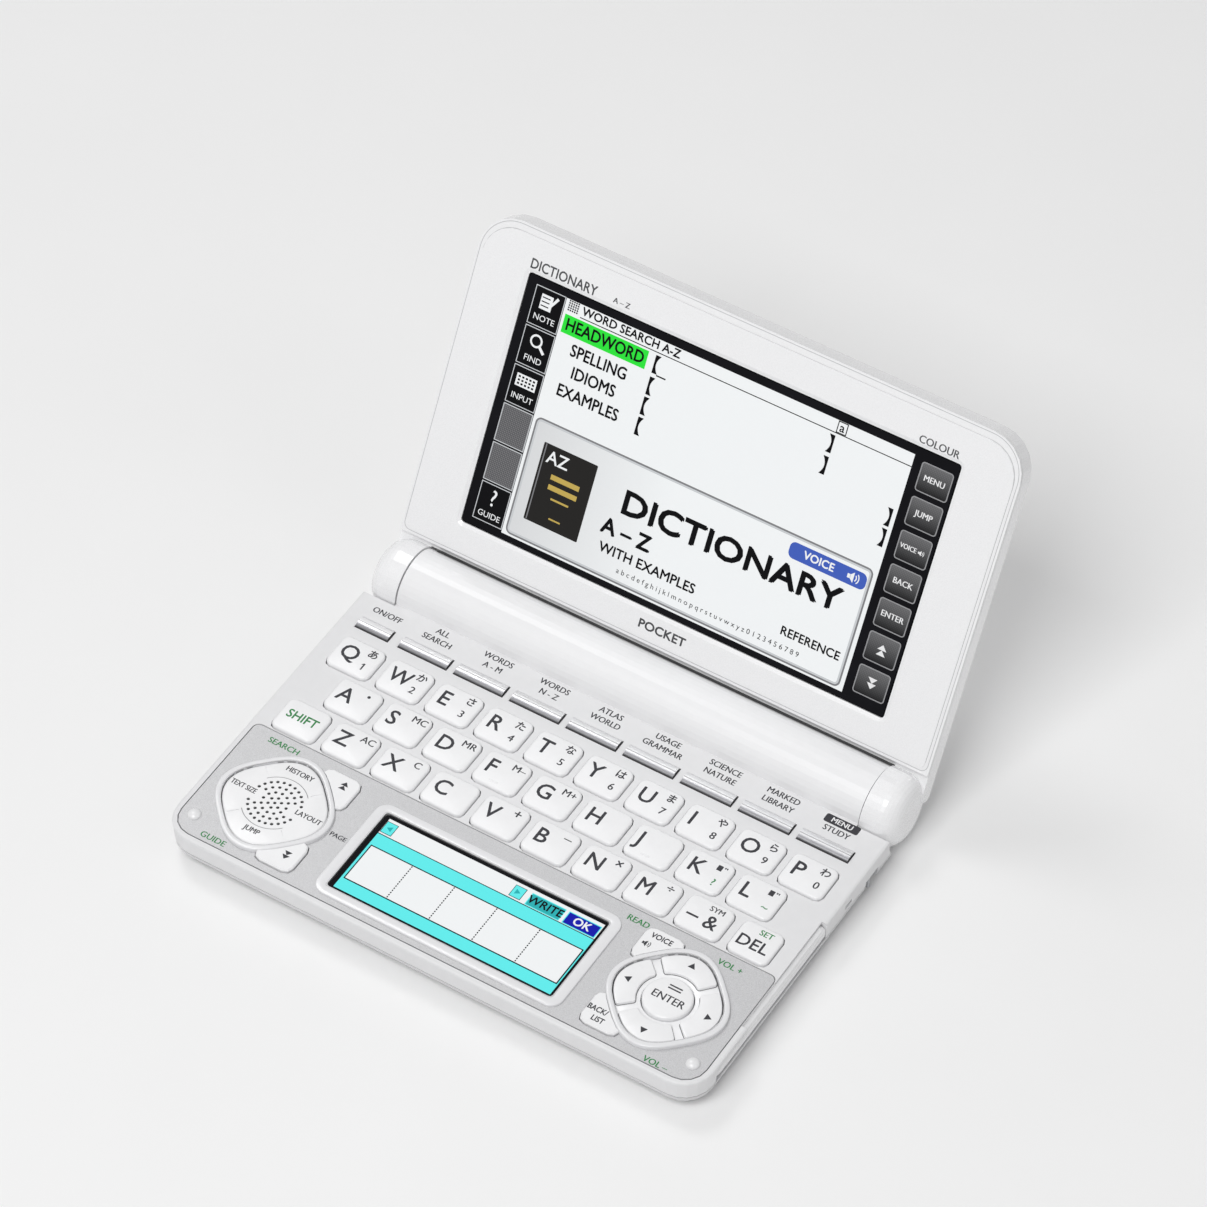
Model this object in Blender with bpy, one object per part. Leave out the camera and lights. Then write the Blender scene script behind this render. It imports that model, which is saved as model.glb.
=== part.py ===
# Pocket electronic dictionary: a keyboard base and a display lid joined by a rear hinge barrel.
# Metres, +Z up. X runs along the hinge, and the user sits at -Y.
# The origin is on the table, under the middle of the box that holds the open device.
import math

import bmesh
import bpy

# Base case
CASE_WIDTH = 0.148
CASE_THICKNESS = 0.0090
CASE_CORNER = 0.0080
FOOT_HEIGHT = 0.0015
WALL = 0.0015
FLOOR_THICKNESS = 0.0014
DECK_THICKNESS = 0.0018
BOTTOM_EDGE = 0.0035
TOP_EDGE = 0.0006
WALL_TAPER = 0.0003
PARTING_RISE = 0.0035        # case bottom to the parting line
CAVITY_RIGHT_WALL = 0.0047
CAVITY_CORNER = 0.0030

# Clearances
SEAM = 0.0003                # between fixed pieces
KEY_GAP = 0.00025            # round every key cap
RUNNING_GAP = 0.0004         # between the lid's arms and the base
BARREL_GAP = 0.0006          # between the barrel and the lid above it
OVERRUN = 0.0020             # how far a cutter passes a face

# Hinge barrel and the lid's arms
HINGE_BELOW_DECK = 0.0008
BARREL_RADIUS = 0.0090
ARM_PROUD = 0.0004           # the lid's arms stand out from the barrel
ARM_WIDTH = 0.00885
ARM_END_ROUND = 0.0046
ARM_END_STEP = 0.0001                 # arm ends inside the lid's sides
PIN_RADIUS = 0.0025
PIN_LENGTH = 0.0140
STUB_RADIUS = 0.0031
STUB_LENGTH = 0.0070
WIRE_WAY_RADIUS = 0.0021
WIRE_WAY_DEPTH = 0.0120

# Lid
LID_RISE = math.radians(60.5)         # above the horizontal, leaning back
LID_CORNER = 0.0100
LID_ARM_CORNER = 0.0030
LID_BACK_EDGE = 0.0015
LID_HEEL = 0.0050                     # the lid's back wall starts here, out from the axis
CLOSED_GAP = 0.0013                   # closed lid's face above the deck
FRAME_GAP = 0.0005           # barrel to the frame's lower edge
FRAME_THICKNESS = 0.0009
FRAME_CORNER = 0.0005
FRAME_FOOT_SLOPE = 0.0007             # the frame's lower edge leans back this far
FACE_STEP = 0.00025
FACE_RIM = 0.0015
FACE_RIM_BOTTOM = 0.0017
FACE_RIM_TOP = 0.0023
FACE_BOTTOM_CORNER = 0.0018
LIP_DEPTH = 0.0018
LIP_WIDTH = 0.0010
TRAY_INSET = 0.0013          # frame's lower edge to the tray

# Main display
SCREEN_SIDE = 0.0151         # case side to the screen
SCREEN_FOOT = 0.01898        # hinge axis to its lower edge
SCREEN_TOP = 0.01132         # its upper edge to the lid's end
SCREEN_CHAMFER = 0.0010
SCREEN_RECESS = 0.0004
SCREEN_FLANGE = 0.0025
SCREEN_BACK_GAP = 0.0004

# Two cells end to end in the barrel, and the cover under them
BARREL_SHELL = 0.00185       # barrel surface to a cell
CELL_NUB_RADIUS = 0.00275
CELL_NUB_LENGTH = 0.0010
CONTACT_SPACE = 0.0007
BAY_CLEARANCE = 0.00045
COVER_END_WALL = 0.0015
HINGE_BLOCK = 0.01335        # barrel end to the battery bay
COVER_LIP_END = 0.0087       # hinge axis to the cover's front edge

# Letter keys
KEYBOARD_SIDE = 0.0038       # case side to the first key's share of a row
ROW_PITCH = 0.0116
KEY_SPACING = 0.00204
ROW_SPACING = 0.0016
KEY_CORNER = 0.0016
KEY_RISE = 0.0009
KEY_CHAMFER = 0.0003
FIRST_ROW = 0.0289           # hinge axis to the top letter row
DELETE_TRIM_LEFT = 0.0004
DELETE_TRIM_RIGHT = 0.0008
KEY_FLANGE = 0.0006
FLANGE_THICKNESS = 0.0006
KEY_TRAVEL = 0.0005
BUMP_LENGTH = 0.0020         # finger bars on F and J
BUMP_WIDTH = 0.0005
BUMP_RISE = 0.0002
BUMP_INSET = 0.0016

# Function keys: half-round bars behind the letters
BAR_SPACING = 0.00226
BAR_HALF_WIDTH = 0.0017
BAR_RISE = 0.0008
BAR_SHOULDER = 0.0003        # straight side of a bar above the deck
BAR_ROW = 0.0185             # hinge axis to the bars
BAR_COUNT = 8
FIRST_BAR_SIDE = 0.0240      # case side to the middle of the bar nearest it
LAST_BAR_SIDE = 0.01228
POWER_SIDE = 0.00937
POWER_LENGTH = 0.0092

# Control panel
PANEL_SIDE = 0.00185         # case side to the panel
PANEL_FRONT = 0.00175
PANEL_BEHIND = 0.00075       # letter keys to the panel
PANEL_DEPTH = 0.0364
PANEL_THICKNESS = 0.0007
PANEL_REAR_CORNER = 0.0015
PANEL_FRONT_CORNER = 0.0055
NUB_RADIUS = 0.00165
NUB_RISE = 0.0010
NUB_SIDE = 0.0053            # case side to a nub
NUB_FRONT = 0.0072

# Round pads: the dial on the left, the arrows on the right
DIAL_SIDE_GAP = 0.00445      # panel side to a pad
DIAL_FORWARD = 0.00035       # middle of the panel to the pads
DIAL_MARGIN = 0.0048         # half the panel's depth less a pad's radius
DIAL_RISE = 0.0007
DIAL_CHAMFER = 0.0004
RIM_WIDTH = 0.0014
RIM_RISE = 0.0010
PAD_FLAT_SHARE = 0.1         # how far a pad's four sides are drawn in
ENTER_RADIUS = 0.0060
ENTER_RISE = 0.0009
ARROW_INNER_RADIUS = 0.0074
ARROW_CHANNEL = 0.0018
ARROW_FLOOR_RISE = 0.0002

# Corner keys beside the round pads
CORNER_TUCK = 0.0039         # corner keys reach this far inside a pad's radius
CORNER_END_GAP = 0.00235     # panel ends to the corner keys
CORNER_WIDTH = 0.0103
CORNER_DEPTH = 0.0097
CORNER_ROUND = 0.0020
CORNER_RISE = 0.0008

# Loudspeaker and its grille
SPEAKER_RADIUS = 0.0090
SPEAKER_DEPTH = 0.0029
MAGNET_RADIUS = 0.0058
MAGNET_DEPTH = 0.0014
SPEAKER_GAP = 0.0005
HOLE_RADIUS = 0.0004
HOLE_PITCH = 0.0016
HOLE_COUNTS = (6, 12, 18, 26)
LABEL_RINGS = 2              # this many inner rings have no gap for a label
LABEL_HALF_HEIGHT = 0.0020

# Sub display
SUB_OFFSET = 0.0005
SUB_FORWARD = 0.00135        # middle of the panel to the window
SUB_CORNER = 0.0008
SUB_RISE = 0.0001
SUB_FLANGE = 0.0015
SUB_FLANGE_THICKNESS = 0.0010
SUB_BODY_INSET = 0.0020
BEZEL_SIDE_GAP = 0.00585     # corner keys to the bezel
BEZEL_END_GAP = 0.00295      # panel ends to the bezel
BEZEL_SIDE = 0.0028
BEZEL_END = 0.00245
BEZEL_CORNER = 0.0033
BEZEL_RISE = 0.0005

# Stylus in its trough along the right wall
STYLUS_WIDTH = 0.0031
STYLUS_INSET = 0.0003        # case side to the stylus
STYLUS_ROUND = 0.0012
STYLUS_REAR = 0.0386         # hinge axis to the stylus head
STYLUS_FRONT = 0.0094        # stylus tip to the case front
STYLUS_HEAD = 0.0010
STYLUS_NIB = 0.0022
HEAD_SHARE = 0.8
NIB_SHARE = 0.5
TROUGH_LIP = 0.0007
WINDOW_WIDTH = 0.0015        # finger window in the deck edge
WINDOW_FRONT = 0.0738

# Recesses in the right wall
STRAP_FRONT = 0.0201
STRAP_REAR = 0.0145
STRAP_BELOW_DECK = 0.0040
STRAP_HEIGHT = 0.0045
STRAP_DEPTH = 0.0026
SLOT_FRONT = 0.0297
SLOT_REAR = 0.0268
SLOT_BELOW_DECK = 0.0027
SLOT_HEIGHT = 0.0015
SLOT_DEPTH = 0.0010

# Inside the base
SHEET_THICKNESS = 0.0006
SHEET_INSET = 0.0006
BOARD_THICKNESS = 0.0010
BOARD_INSET = 0.0012
BOSS_RADIUS = 0.0020
BOSS_INSET = 0.0080
CHIP_DEPTH = 0.0010
CHIPS = {                    # size, then place from the hinge axis
    "processor": (0.018, 0.018, -0.020, -0.042),
    "memory": (0.012, 0.009, 0.016, -0.040),
    "connector": (0.024, 0.005, -0.032, -0.024),
}

# Feet
FRONT_FOOT_RADIUS = 0.0040
FRONT_FOOT_SIDE = 0.0160
FRONT_FOOT_FRONT = 0.0100
REAR_FOOT_RADIUS = 0.0035

# Fineness of the curves
CORNER_STEPS = 2
CASE_STEPS = 5
BARREL_STEPS = 40
ARM_STEPS = 8
PAD_STEPS = 32
PIN_STEPS = 20
HOLE_STEPS = 6

# Letters in reading order
TOP_ROW = ("q", "w", "e", "r", "t", "y", "u", "i", "o", "p")
MIDDLE_ROW = ("a", "s", "d", "f", "g", "h", "j", "k", "l")
BOTTOM_ROW = ("shift", "z", "x", "c", "v", "b", "n", "m", "symbol", "delete")

# Heights above the table
CASE_BOTTOM = FOOT_HEIGHT
DECK_TOP = CASE_BOTTOM + CASE_THICKNESS
PARTING = CASE_BOTTOM + PARTING_RISE
DECK_UNDERSIDE = DECK_TOP - DECK_THICKNESS
FLOOR_TOP = CASE_BOTTOM + FLOOR_THICKNESS
HINGE_Z = DECK_TOP - HINGE_BELOW_DECK
FLANGE_TOP = DECK_UNDERSIDE - SEAM
FLANGE_BOTTOM = FLANGE_TOP - FLANGE_THICKNESS
SHEET_TOP = FLANGE_BOTTOM - KEY_TRAVEL - SEAM
SHEET_BOTTOM = SHEET_TOP - SHEET_THICKNESS
BOARD_TOP = SHEET_BOTTOM - SEAM
BOARD_BOTTOM = BOARD_TOP - BOARD_THICKNESS
PANEL_BOTTOM = DECK_TOP - PANEL_THICKNESS
TROUGH_TOP = DECK_TOP - TROUGH_LIP

# Radii and gaps that follow the barrel
ARM_RADIUS = BARREL_RADIUS + ARM_PROUD
CELL_RADIUS = BARREL_RADIUS - BARREL_SHELL
CAVITY_REAR = ARM_RADIUS + RUNNING_GAP + WALL
FRAME_START = BARREL_RADIUS + FRAME_GAP
TRAY_START = FRAME_START + TRAY_INSET

# Lid levels along its face's normal, from the hinge axis
FACE = -(CLOSED_GAP + HINGE_BELOW_DECK)
FACE_EDGE = FACE - FACE_STEP
FRAME_BACK = FACE - FRAME_THICKNESS
TRAY_RIM = FRAME_BACK - SEAM
LID_BACK = -ARM_RADIUS

# Sizes along X that follow the case width
HALF_WIDTH = CASE_WIDTH / 2
ARM_INNER = HALF_WIDTH - ARM_WIDTH
BARREL_END = ARM_INNER - SEAM
CELL_LENGTH = BARREL_END - HINGE_BLOCK - CONTACT_SPACE - SEAM - CELL_NUB_LENGTH
KEY_PITCH = (CASE_WIDTH - 2 * KEYBOARD_SIDE) / len(TOP_ROW)
KEY_WIDTH = KEY_PITCH - KEY_SPACING
FIRST_BAR = FIRST_BAR_SIDE - HALF_WIDTH
POWER_BAR = POWER_SIDE - HALF_WIDTH
BAR_PITCH = (CASE_WIDTH - FIRST_BAR_SIDE - LAST_BAR_SIDE) / (BAR_COUNT - 1)
BAR_LENGTH = BAR_PITCH - BAR_SPACING
DIAL_RADIUS = PANEL_DEPTH / 2 - DIAL_MARGIN
DIAL_OFFSET = HALF_WIDTH - PANEL_SIDE - DIAL_SIDE_GAP - DIAL_RADIUS
CORNER_OFFSET = DIAL_OFFSET - DIAL_RADIUS + CORNER_TUCK
BEZEL_WIDTH = 2 * CORNER_OFFSET - CORNER_WIDTH - 2 * BEZEL_SIDE_GAP
SUB_WIDTH = BEZEL_WIDTH - 2 * BEZEL_SIDE
SCREEN_WIDTH = CASE_WIDTH - 2 * SCREEN_SIDE

# Depths from the hinge axis, stacked from the letter rows to the front
KEY_DEPTH = ROW_PITCH - ROW_SPACING
LAST_ROW = FIRST_ROW + 2 * ROW_PITCH
PANEL_REAR = LAST_ROW + KEY_DEPTH / 2 + PANEL_BEHIND
PANEL_MIDDLE = PANEL_REAR + PANEL_DEPTH / 2
CASE_FRONT = PANEL_REAR + PANEL_DEPTH + PANEL_FRONT
CORNER_SPREAD = PANEL_DEPTH / 2 - CORNER_END_GAP - CORNER_DEPTH / 2
BEZEL_HEIGHT = PANEL_DEPTH - 2 * BEZEL_END_GAP
SUB_HEIGHT = BEZEL_HEIGHT - 2 * BEZEL_END
STYLUS_LENGTH = CASE_FRONT - STYLUS_FRONT - STYLUS_REAR

# The closed lid ends above the case front
LID_LENGTH = CASE_FRONT
SCREEN_HEIGHT = LID_LENGTH - SCREEN_TOP - SCREEN_FOOT
SCREEN_CENTRE = SCREEN_FOOT + SCREEN_HEIGHT / 2

# Further places along X
CELL_OVERALL = CELL_LENGTH + CELL_NUB_LENGTH
BAY_END = CELL_OVERALL + CONTACT_SPACE + SEAM
BAY_RADIUS = CELL_RADIUS + BAY_CLEARANCE
COVER_END = BAY_END + COVER_END_WALL
CAVITY_LEFT = WALL - HALF_WIDTH
CAVITY_RIGHT = HALF_WIDTH - CAVITY_RIGHT_WALL
CAVITY_FRONT_CORNER = CASE_CORNER - WALL

# Hinge axis, placed so that the open device's box is centred front to back
LID_REACH = (
    (LID_LENGTH - LID_BACK_EDGE) * math.cos(LID_RISE)
    - (LID_BACK + LID_BACK_EDGE) * math.sin(LID_RISE)
    + LID_BACK_EDGE
)
HINGE_Y = (CASE_FRONT - LID_REACH) / 2

# Places along Y
CASE_FRONT_Y = HINGE_Y - CASE_FRONT
CAVITY_REAR_Y = HINGE_Y - CAVITY_REAR
PADS_Y = HINGE_Y - PANEL_MIDDLE - DIAL_FORWARD
SUB_Y = HINGE_Y - PANEL_MIDDLE - SUB_FORWARD
BARS_Y = HINGE_Y - BAR_ROW
STYLUS_REAR_Y = HINGE_Y - STYLUS_REAR
STYLUS_FRONT_Y = STYLUS_REAR_Y - STYLUS_LENGTH

QUARTER = math.pi / 2


# Materials

def finish(name, colour, roughness, metallic=0.0):
    material = bpy.data.materials.get(name) or bpy.data.materials.new(name)
    material.use_nodes = True
    shader = material.node_tree.nodes["Principled BSDF"]
    shader.inputs["Base Color"].default_value = (*colour, 1.0)
    shader.inputs["Roughness"].default_value = roughness
    shader.inputs["Metallic"].default_value = metallic
    return material


def shell_white():
    return finish("shell_white", (0.86, 0.86, 0.87), 0.3)


def lid_pearl():
    return finish("lid_pearl", (0.92, 0.92, 0.93), 0.2)


def key_white():
    return finish("key_white", (0.93, 0.93, 0.94), 0.35)


def bar_chrome():
    return finish("bar_chrome", (0.75, 0.76, 0.78), 0.18, 1.0)


def panel_silver():
    return finish("panel_silver", (0.66, 0.67, 0.69), 0.4, 0.4)


def display_black():
    return finish("display_black", (0.01, 0.01, 0.012), 0.15)


def board_green():
    return finish("board_green", (0.03, 0.22, 0.09), 0.5)


def sheet_grey():
    return finish("sheet_grey", (0.35, 0.36, 0.38), 0.6)


def speaker_grey():
    return finish("speaker_grey", (0.12, 0.12, 0.13), 0.5)


def cell_jacket():
    return finish("cell_jacket", (0.1, 0.25, 0.55), 0.35)


def pin_steel():
    return finish("pin_steel", (0.55, 0.56, 0.58), 0.3, 1.0)


# Outlines

def arc(cx, cy, radius, start, end, steps):
    points = []
    for i in range(steps + 1):
        angle = start + (end - start) * i / steps
        points.append((cx + radius * math.cos(angle), cy + radius * math.sin(angle)))
    return points


def circle(cx, cy, radius, steps, turn=0.0):
    # The turn is in steps
    start = 4 * QUARTER * turn / steps
    return arc(cx, cy, radius, start, start + 4 * QUARTER, steps)[:-1]


def corners(left, right, front, back, radii, steps=CORNER_STEPS):
    # Radii run front left, front right, back right, back left
    fl, fr, br, bl = radii
    points = arc(left + fl, front + fl, fl, 2 * QUARTER, 3 * QUARTER, steps)
    points += arc(right - fr, front + fr, fr, 3 * QUARTER, 4 * QUARTER, steps)
    points += arc(right - br, back - br, br, 0, QUARTER, steps)
    points += arc(left + bl, back - bl, bl, QUARTER, 2 * QUARTER, steps)
    return points


def rounded(cx, cy, width, depth, radius, grow=0.0, steps=CORNER_STEPS):
    x = width / 2 + grow
    y = depth / 2 + grow
    return corners(cx - x, cx + x, cy - y, cy + y, [radius + grow] * 4, steps)


def rectangle(left, right, front, back):
    return [(left, front), (right, front), (right, back), (left, back)]


def pad_outline(cx, cy, radius):
    # Rounded diamond with its four corners on the axes
    points = []
    for i in range(PAD_STEPS):
        angle = 4 * QUARTER * i / PAD_STEPS
        reach = radius * (1 - PAD_FLAT_SHARE * math.sin(2 * angle) ** 2)
        points.append((cx + reach * math.cos(angle), cy + reach * math.sin(angle)))
    return points


# Solids from stacks of outlines

def level(outline, z):
    return [(x, y, z) for x, y in outline]


def across(outline, x):
    return [(x, y, z) for y, z in outline]


def prism(outline, low, high):
    return [level(outline, low), level(outline, high)]


def rod(outline, start, end):
    return [across(outline, start), across(outline, end)]


def skin(bm, rings):
    rows = [[bm.verts.new(p) for p in ring] for ring in rings]
    for low, high in zip(rows, rows[1:]):
        for i in range(len(low)):
            j = (i + 1) % len(low)
            bm.faces.new((low[i], low[j], high[j], high[i]))
    bm.faces.new(rows[0][::-1])
    bm.faces.new(rows[-1])


def skin_frame(bm, outer, inner, low, high):
    # Square-section ring between two outlines with the same number of points
    loops = [(outer, low), (outer, high), (inner, high), (inner, low)]
    rows = [[bm.verts.new((x, y, z)) for x, y in outline] for outline, z in loops]
    for k in range(len(rows)):
        here = rows[k]
        there = rows[(k + 1) % len(rows)]
        for i in range(len(here)):
            j = (i + 1) % len(here)
            bm.faces.new((here[i], here[j], there[j], there[i]))


def place(name, bm, material=None):
    mesh = bpy.data.meshes.new(name)
    bm.to_mesh(mesh)
    bm.free()
    solid = bpy.data.objects.new(name, mesh)
    bpy.context.scene.collection.objects.link(solid)
    if material:
        mesh.materials.append(material)
    return solid


def make(name, stacks, material=None, at=(0.0, 0.0, 0.0), parent=None):
    bm = bmesh.new()
    for rings in stacks:
        skin(bm, rings)
    solid = place(name, bm, material)
    solid.location = at
    solid.parent = parent
    return solid


def hide_tool(shape):
    shape.hide_render = True
    shape.display_type = "WIRE"
    return shape


def tool(name, stacks, at=(0.0, 0.0, 0.0), parent=None):
    return hide_tool(make(name, stacks, None, at, parent))


def combine(solid, operation, tools):
    for other in tools:
        step = solid.modifiers.new(other.name, "BOOLEAN")
        step.operation = operation
        step.solver = "EXACT"
        step.object = other


def cut(solid, *tools):
    combine(solid, "DIFFERENCE", tools)


def join(solid, *tools):
    combine(solid, "UNION", tools)


def keep(solid, *tools):
    combine(solid, "INTERSECT", tools)


def smooth(solid):
    solid.data.shade_smooth()
    solid.data.set_sharp_from_angle(angle=math.radians(30))


# The base's outer form, before it is split into its shells

def case_outline(inset):
    side = HALF_WIDTH - inset
    front = CASE_FRONT_Y + inset
    back = HINGE_Y - BARREL_RADIUS / 3
    radius = CASE_CORNER - inset
    points = arc(radius - side, front + radius, radius, 2 * QUARTER, 3 * QUARTER, CASE_STEPS)
    points += arc(side - radius, front + radius, radius, 3 * QUARTER, 4 * QUARTER, CASE_STEPS)
    points += [(side, back), (-side, back)]
    return points


def case_rings():
    rings = []
    for i in range(CASE_STEPS):
        angle = QUARTER * i / (CASE_STEPS - 1)
        inset = WALL_TAPER + BOTTOM_EDGE * (1 - math.sin(angle))
        rings.append(level(case_outline(inset), CASE_BOTTOM + BOTTOM_EDGE * (1 - math.cos(angle))))
    for i in range(CORNER_STEPS + 1):
        angle = QUARTER * i / CORNER_STEPS
        inset = TOP_EDGE * (1 - math.cos(angle))
        rings.append(level(case_outline(inset), DECK_TOP - TOP_EDGE * (1 - math.sin(angle))))
    return rings


def axis_circle(radius, steps=BARREL_STEPS):
    return circle(HINGE_Y, HINGE_Z, radius, steps)


def case_form(name, material):
    barrel = rod(axis_circle(BARREL_RADIUS), -BARREL_END - OVERRUN, BARREL_END + OVERRUN)
    swing = axis_circle(ARM_RADIUS + RUNNING_GAP)
    outside = HALF_WIDTH + OVERRUN
    solid = make(name, [case_rings()], material)
    join(solid, tool(f"{name}_barrel", [barrel]))
    cut(solid, tool(f"{name}_swing", [rod(swing, -outside, -BARREL_END), rod(swing, BARREL_END, outside)]))
    return solid


def zone(name, low, high):
    outside = HALF_WIDTH + OVERRUN
    outline = rectangle(-outside, outside, CASE_FRONT_Y - OVERRUN, HINGE_Y + BARREL_RADIUS + OVERRUN)
    return tool(name, [prism(outline, low, high)])


def cavity_outline(inset=0.0):
    front = CAVITY_FRONT_CORNER - inset
    rear = CAVITY_CORNER - inset
    return corners(CAVITY_LEFT + inset, CAVITY_RIGHT - inset, CASE_FRONT_Y + WALL + inset,
                   CAVITY_REAR_Y - inset, (front, front, rear, rear), CASE_STEPS - 1)


def cavity_tool():
    rings = [
        level(cavity_outline(WALL), FLOOR_TOP),
        level(cavity_outline(), FLOOR_TOP + WALL),
        level(cavity_outline(), DECK_UNDERSIDE),
    ]
    return tool("electronics_space", [rings])


# Battery bay: a bore about the axis, with a mouth that opens downwards

def bay_tool():
    bay = tool("battery_bay", [rod(axis_circle(BAY_RADIUS), -BAY_END, BAY_END)])
    mouth = rectangle(-BAY_END, BAY_END, HINGE_Y - BAY_RADIUS, HINGE_Y + BAY_RADIUS)
    join(bay, tool("battery_mouth", [prism(mouth, -OVERRUN, HINGE_Z)]))
    return bay


def cover_profile():
    lip = HINGE_Y - COVER_LIP_END
    back = HINGE_Y + BARREL_RADIUS + OVERRUN
    return [(lip, -OVERRUN), (back, -OVERRUN), (back, HINGE_Z - SEAM), (HINGE_Y, HINGE_Z - SEAM),
            (HINGE_Y, FLOOR_TOP), (lip, FLOOR_TOP)]


def build_battery_cover():
    cover = case_form("battery_cover", shell_white())
    keep(cover, tool("cover_limits", [rod(cover_profile(), -COVER_END, COVER_END)]))
    cut(cover, tool("cell_cradle", [rod(axis_circle(BAY_RADIUS), -BAY_END, BAY_END)]))
    smooth(cover)


def cover_well(name, front, high):
    well = COVER_END + SEAM
    outline = rectangle(-well, well, front, HINGE_Y + BARREL_RADIUS + OVERRUN)
    return tool(name, [prism(outline, -OVERRUN, high)])


def build_cell(name, start):
    nub = start + CELL_LENGTH
    rings = [
        across(axis_circle(CELL_RADIUS, PIN_STEPS), start),
        across(axis_circle(CELL_RADIUS, PIN_STEPS), nub),
        across(axis_circle(CELL_NUB_RADIUS, PIN_STEPS), nub),
        across(axis_circle(CELL_NUB_RADIUS, PIN_STEPS), nub + CELL_NUB_LENGTH),
    ]
    smooth(make(name, [rings], cell_jacket()))


# Key places

def row_x(i, row):
    return (i - (len(row) - 1) / 2) * KEY_PITCH


def letter_keys():
    # Name, X, Y and width
    keys = []
    for row, letters in enumerate((TOP_ROW, MIDDLE_ROW, BOTTOM_ROW)):
        y = HINGE_Y - FIRST_ROW - row * ROW_PITCH
        for i, letter in enumerate(letters):
            x = row_x(i, letters)
            width = KEY_WIDTH
            if letter == "delete":
                x += (DELETE_TRIM_LEFT - DELETE_TRIM_RIGHT) / 2
                width -= DELETE_TRIM_LEFT + DELETE_TRIM_RIGHT
            keys.append((f"key_{letter}", x, y, width))
    return keys


def bar_keys():
    # Name, X and length
    keys = [("power_key", POWER_BAR, POWER_LENGTH)]
    for i in range(BAR_COUNT):
        keys.append((f"function_key_{i + 1}", FIRST_BAR + i * BAR_PITCH, BAR_LENGTH))
    return keys


def corner_keys():
    # Name, then the side and the way from the middle of a round pad
    return [("page_up_key", -1, 1), ("page_down_key", -1, -1), ("voice_key", 1, 1), ("back_key", 1, -1)]


def corner_outline(side, way, grow=0.0):
    x = side * CORNER_OFFSET
    return rounded(x, PADS_Y + way * CORNER_SPREAD, CORNER_WIDTH, CORNER_DEPTH, CORNER_ROUND, grow)


def rim_radius():
    return DIAL_RADIUS + KEY_GAP + RIM_WIDTH


def key_rings(outline, top, chamfer):
    return [
        level(outline(KEY_FLANGE), FLANGE_BOTTOM),
        level(outline(KEY_FLANGE), FLANGE_TOP),
        level(outline(0.0), FLANGE_TOP),
        level(outline(0.0), top - chamfer),
        level(outline(-chamfer), top),
    ]


def build_letter_keys():
    top = DECK_TOP + KEY_RISE
    for name, x, y, width in letter_keys():
        def outline(grow, width=width):
            return rounded(0.0, 0.0, width, KEY_DEPTH, KEY_CORNER, grow)
        key = make(name, [key_rings(outline, top, KEY_CHAMFER)], key_white(), (x, y, 0.0))
        if name in ("key_f", "key_j"):
            ridge = rounded(0.0, BUMP_INSET - KEY_DEPTH / 2, BUMP_LENGTH, BUMP_WIDTH, BUMP_WIDTH / 3)
            join(key, tool(f"{name}_ridge", [prism(ridge, top - KEY_CHAMFER, top + BUMP_RISE)], (x, y, 0.0)))
        smooth(key)


def bar_profile():
    # Half-round top on straight sides, in Y and Z about the bar's middle
    crown = BAR_RISE - BAR_SHOULDER
    steps = 2 * (CASE_STEPS - 1)
    points = [(-BAR_HALF_WIDTH, FLANGE_BOTTOM), (BAR_HALF_WIDTH, FLANGE_BOTTOM)]
    for i in range(steps + 1):
        angle = 2 * QUARTER * i / steps
        z = DECK_TOP + BAR_SHOULDER + crown * math.sin(angle)
        points.append((BAR_HALF_WIDTH * math.cos(angle), z))
    return points


def build_bar_keys():
    reach = BAR_HALF_WIDTH + KEY_FLANGE
    for name, x, length in bar_keys():
        at = (x, BARS_Y, 0.0)
        key = make(name, [rod(bar_profile(), -length / 2, length / 2)], bar_chrome(), at)
        inner = length / 2 - KEY_FLANGE
        flange = rectangle(-inner, inner, -reach, reach)
        join(key, tool(f"{name}_flange", [prism(flange, FLANGE_BOTTOM, FLANGE_TOP)], at))
        smooth(key)


def build_corner_keys():
    for name, side, way in corner_keys():
        x = side * CORNER_OFFSET
        y = PADS_Y + way * CORNER_SPREAD

        def outline(grow):
            return rounded(0.0, 0.0, CORNER_WIDTH, CORNER_DEPTH, CORNER_ROUND, grow)
        key = make(name, [key_rings(outline, DECK_TOP + CORNER_RISE, KEY_CHAMFER)], key_white(), (x, y, 0.0))
        rim = pad_outline(side * DIAL_OFFSET, PADS_Y, rim_radius() + KEY_GAP)
        cut(key, tool(f"{name}_bite", [prism(rim, FLANGE_BOTTOM - OVERRUN, DECK_TOP + OVERRUN)]))
        smooth(key)


def grille_stacks():
    places = [(0.0, 0.0)]
    for ring, count in enumerate(HOLE_COUNTS, start=1):
        for i in range(count):
            angle = QUARTER + 4 * QUARTER * i / count
            x = ring * HOLE_PITCH * math.cos(angle)
            y = ring * HOLE_PITCH * math.sin(angle)
            if ring <= LABEL_RINGS or abs(y) >= LABEL_HALF_HEIGHT:
                places.append((x, y))
    holes = [circle(x, y, HOLE_RADIUS, HOLE_STEPS) for x, y in places]
    return [prism(hole, FLANGE_BOTTOM - OVERRUN, DECK_TOP + OVERRUN) for hole in holes]


def pad_rings():
    def outline(grow):
        return pad_outline(0.0, 0.0, DIAL_RADIUS + grow)
    return key_rings(outline, DECK_TOP + DIAL_RISE, DIAL_CHAMFER)


def build_dial_plate():
    at = (-DIAL_OFFSET, PADS_Y, 0.0)
    plate = make("dial_plate", [pad_rings()], key_white(), at)
    cut(plate, tool("speaker_grille", grille_stacks(), at))
    smooth(plate)


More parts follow.
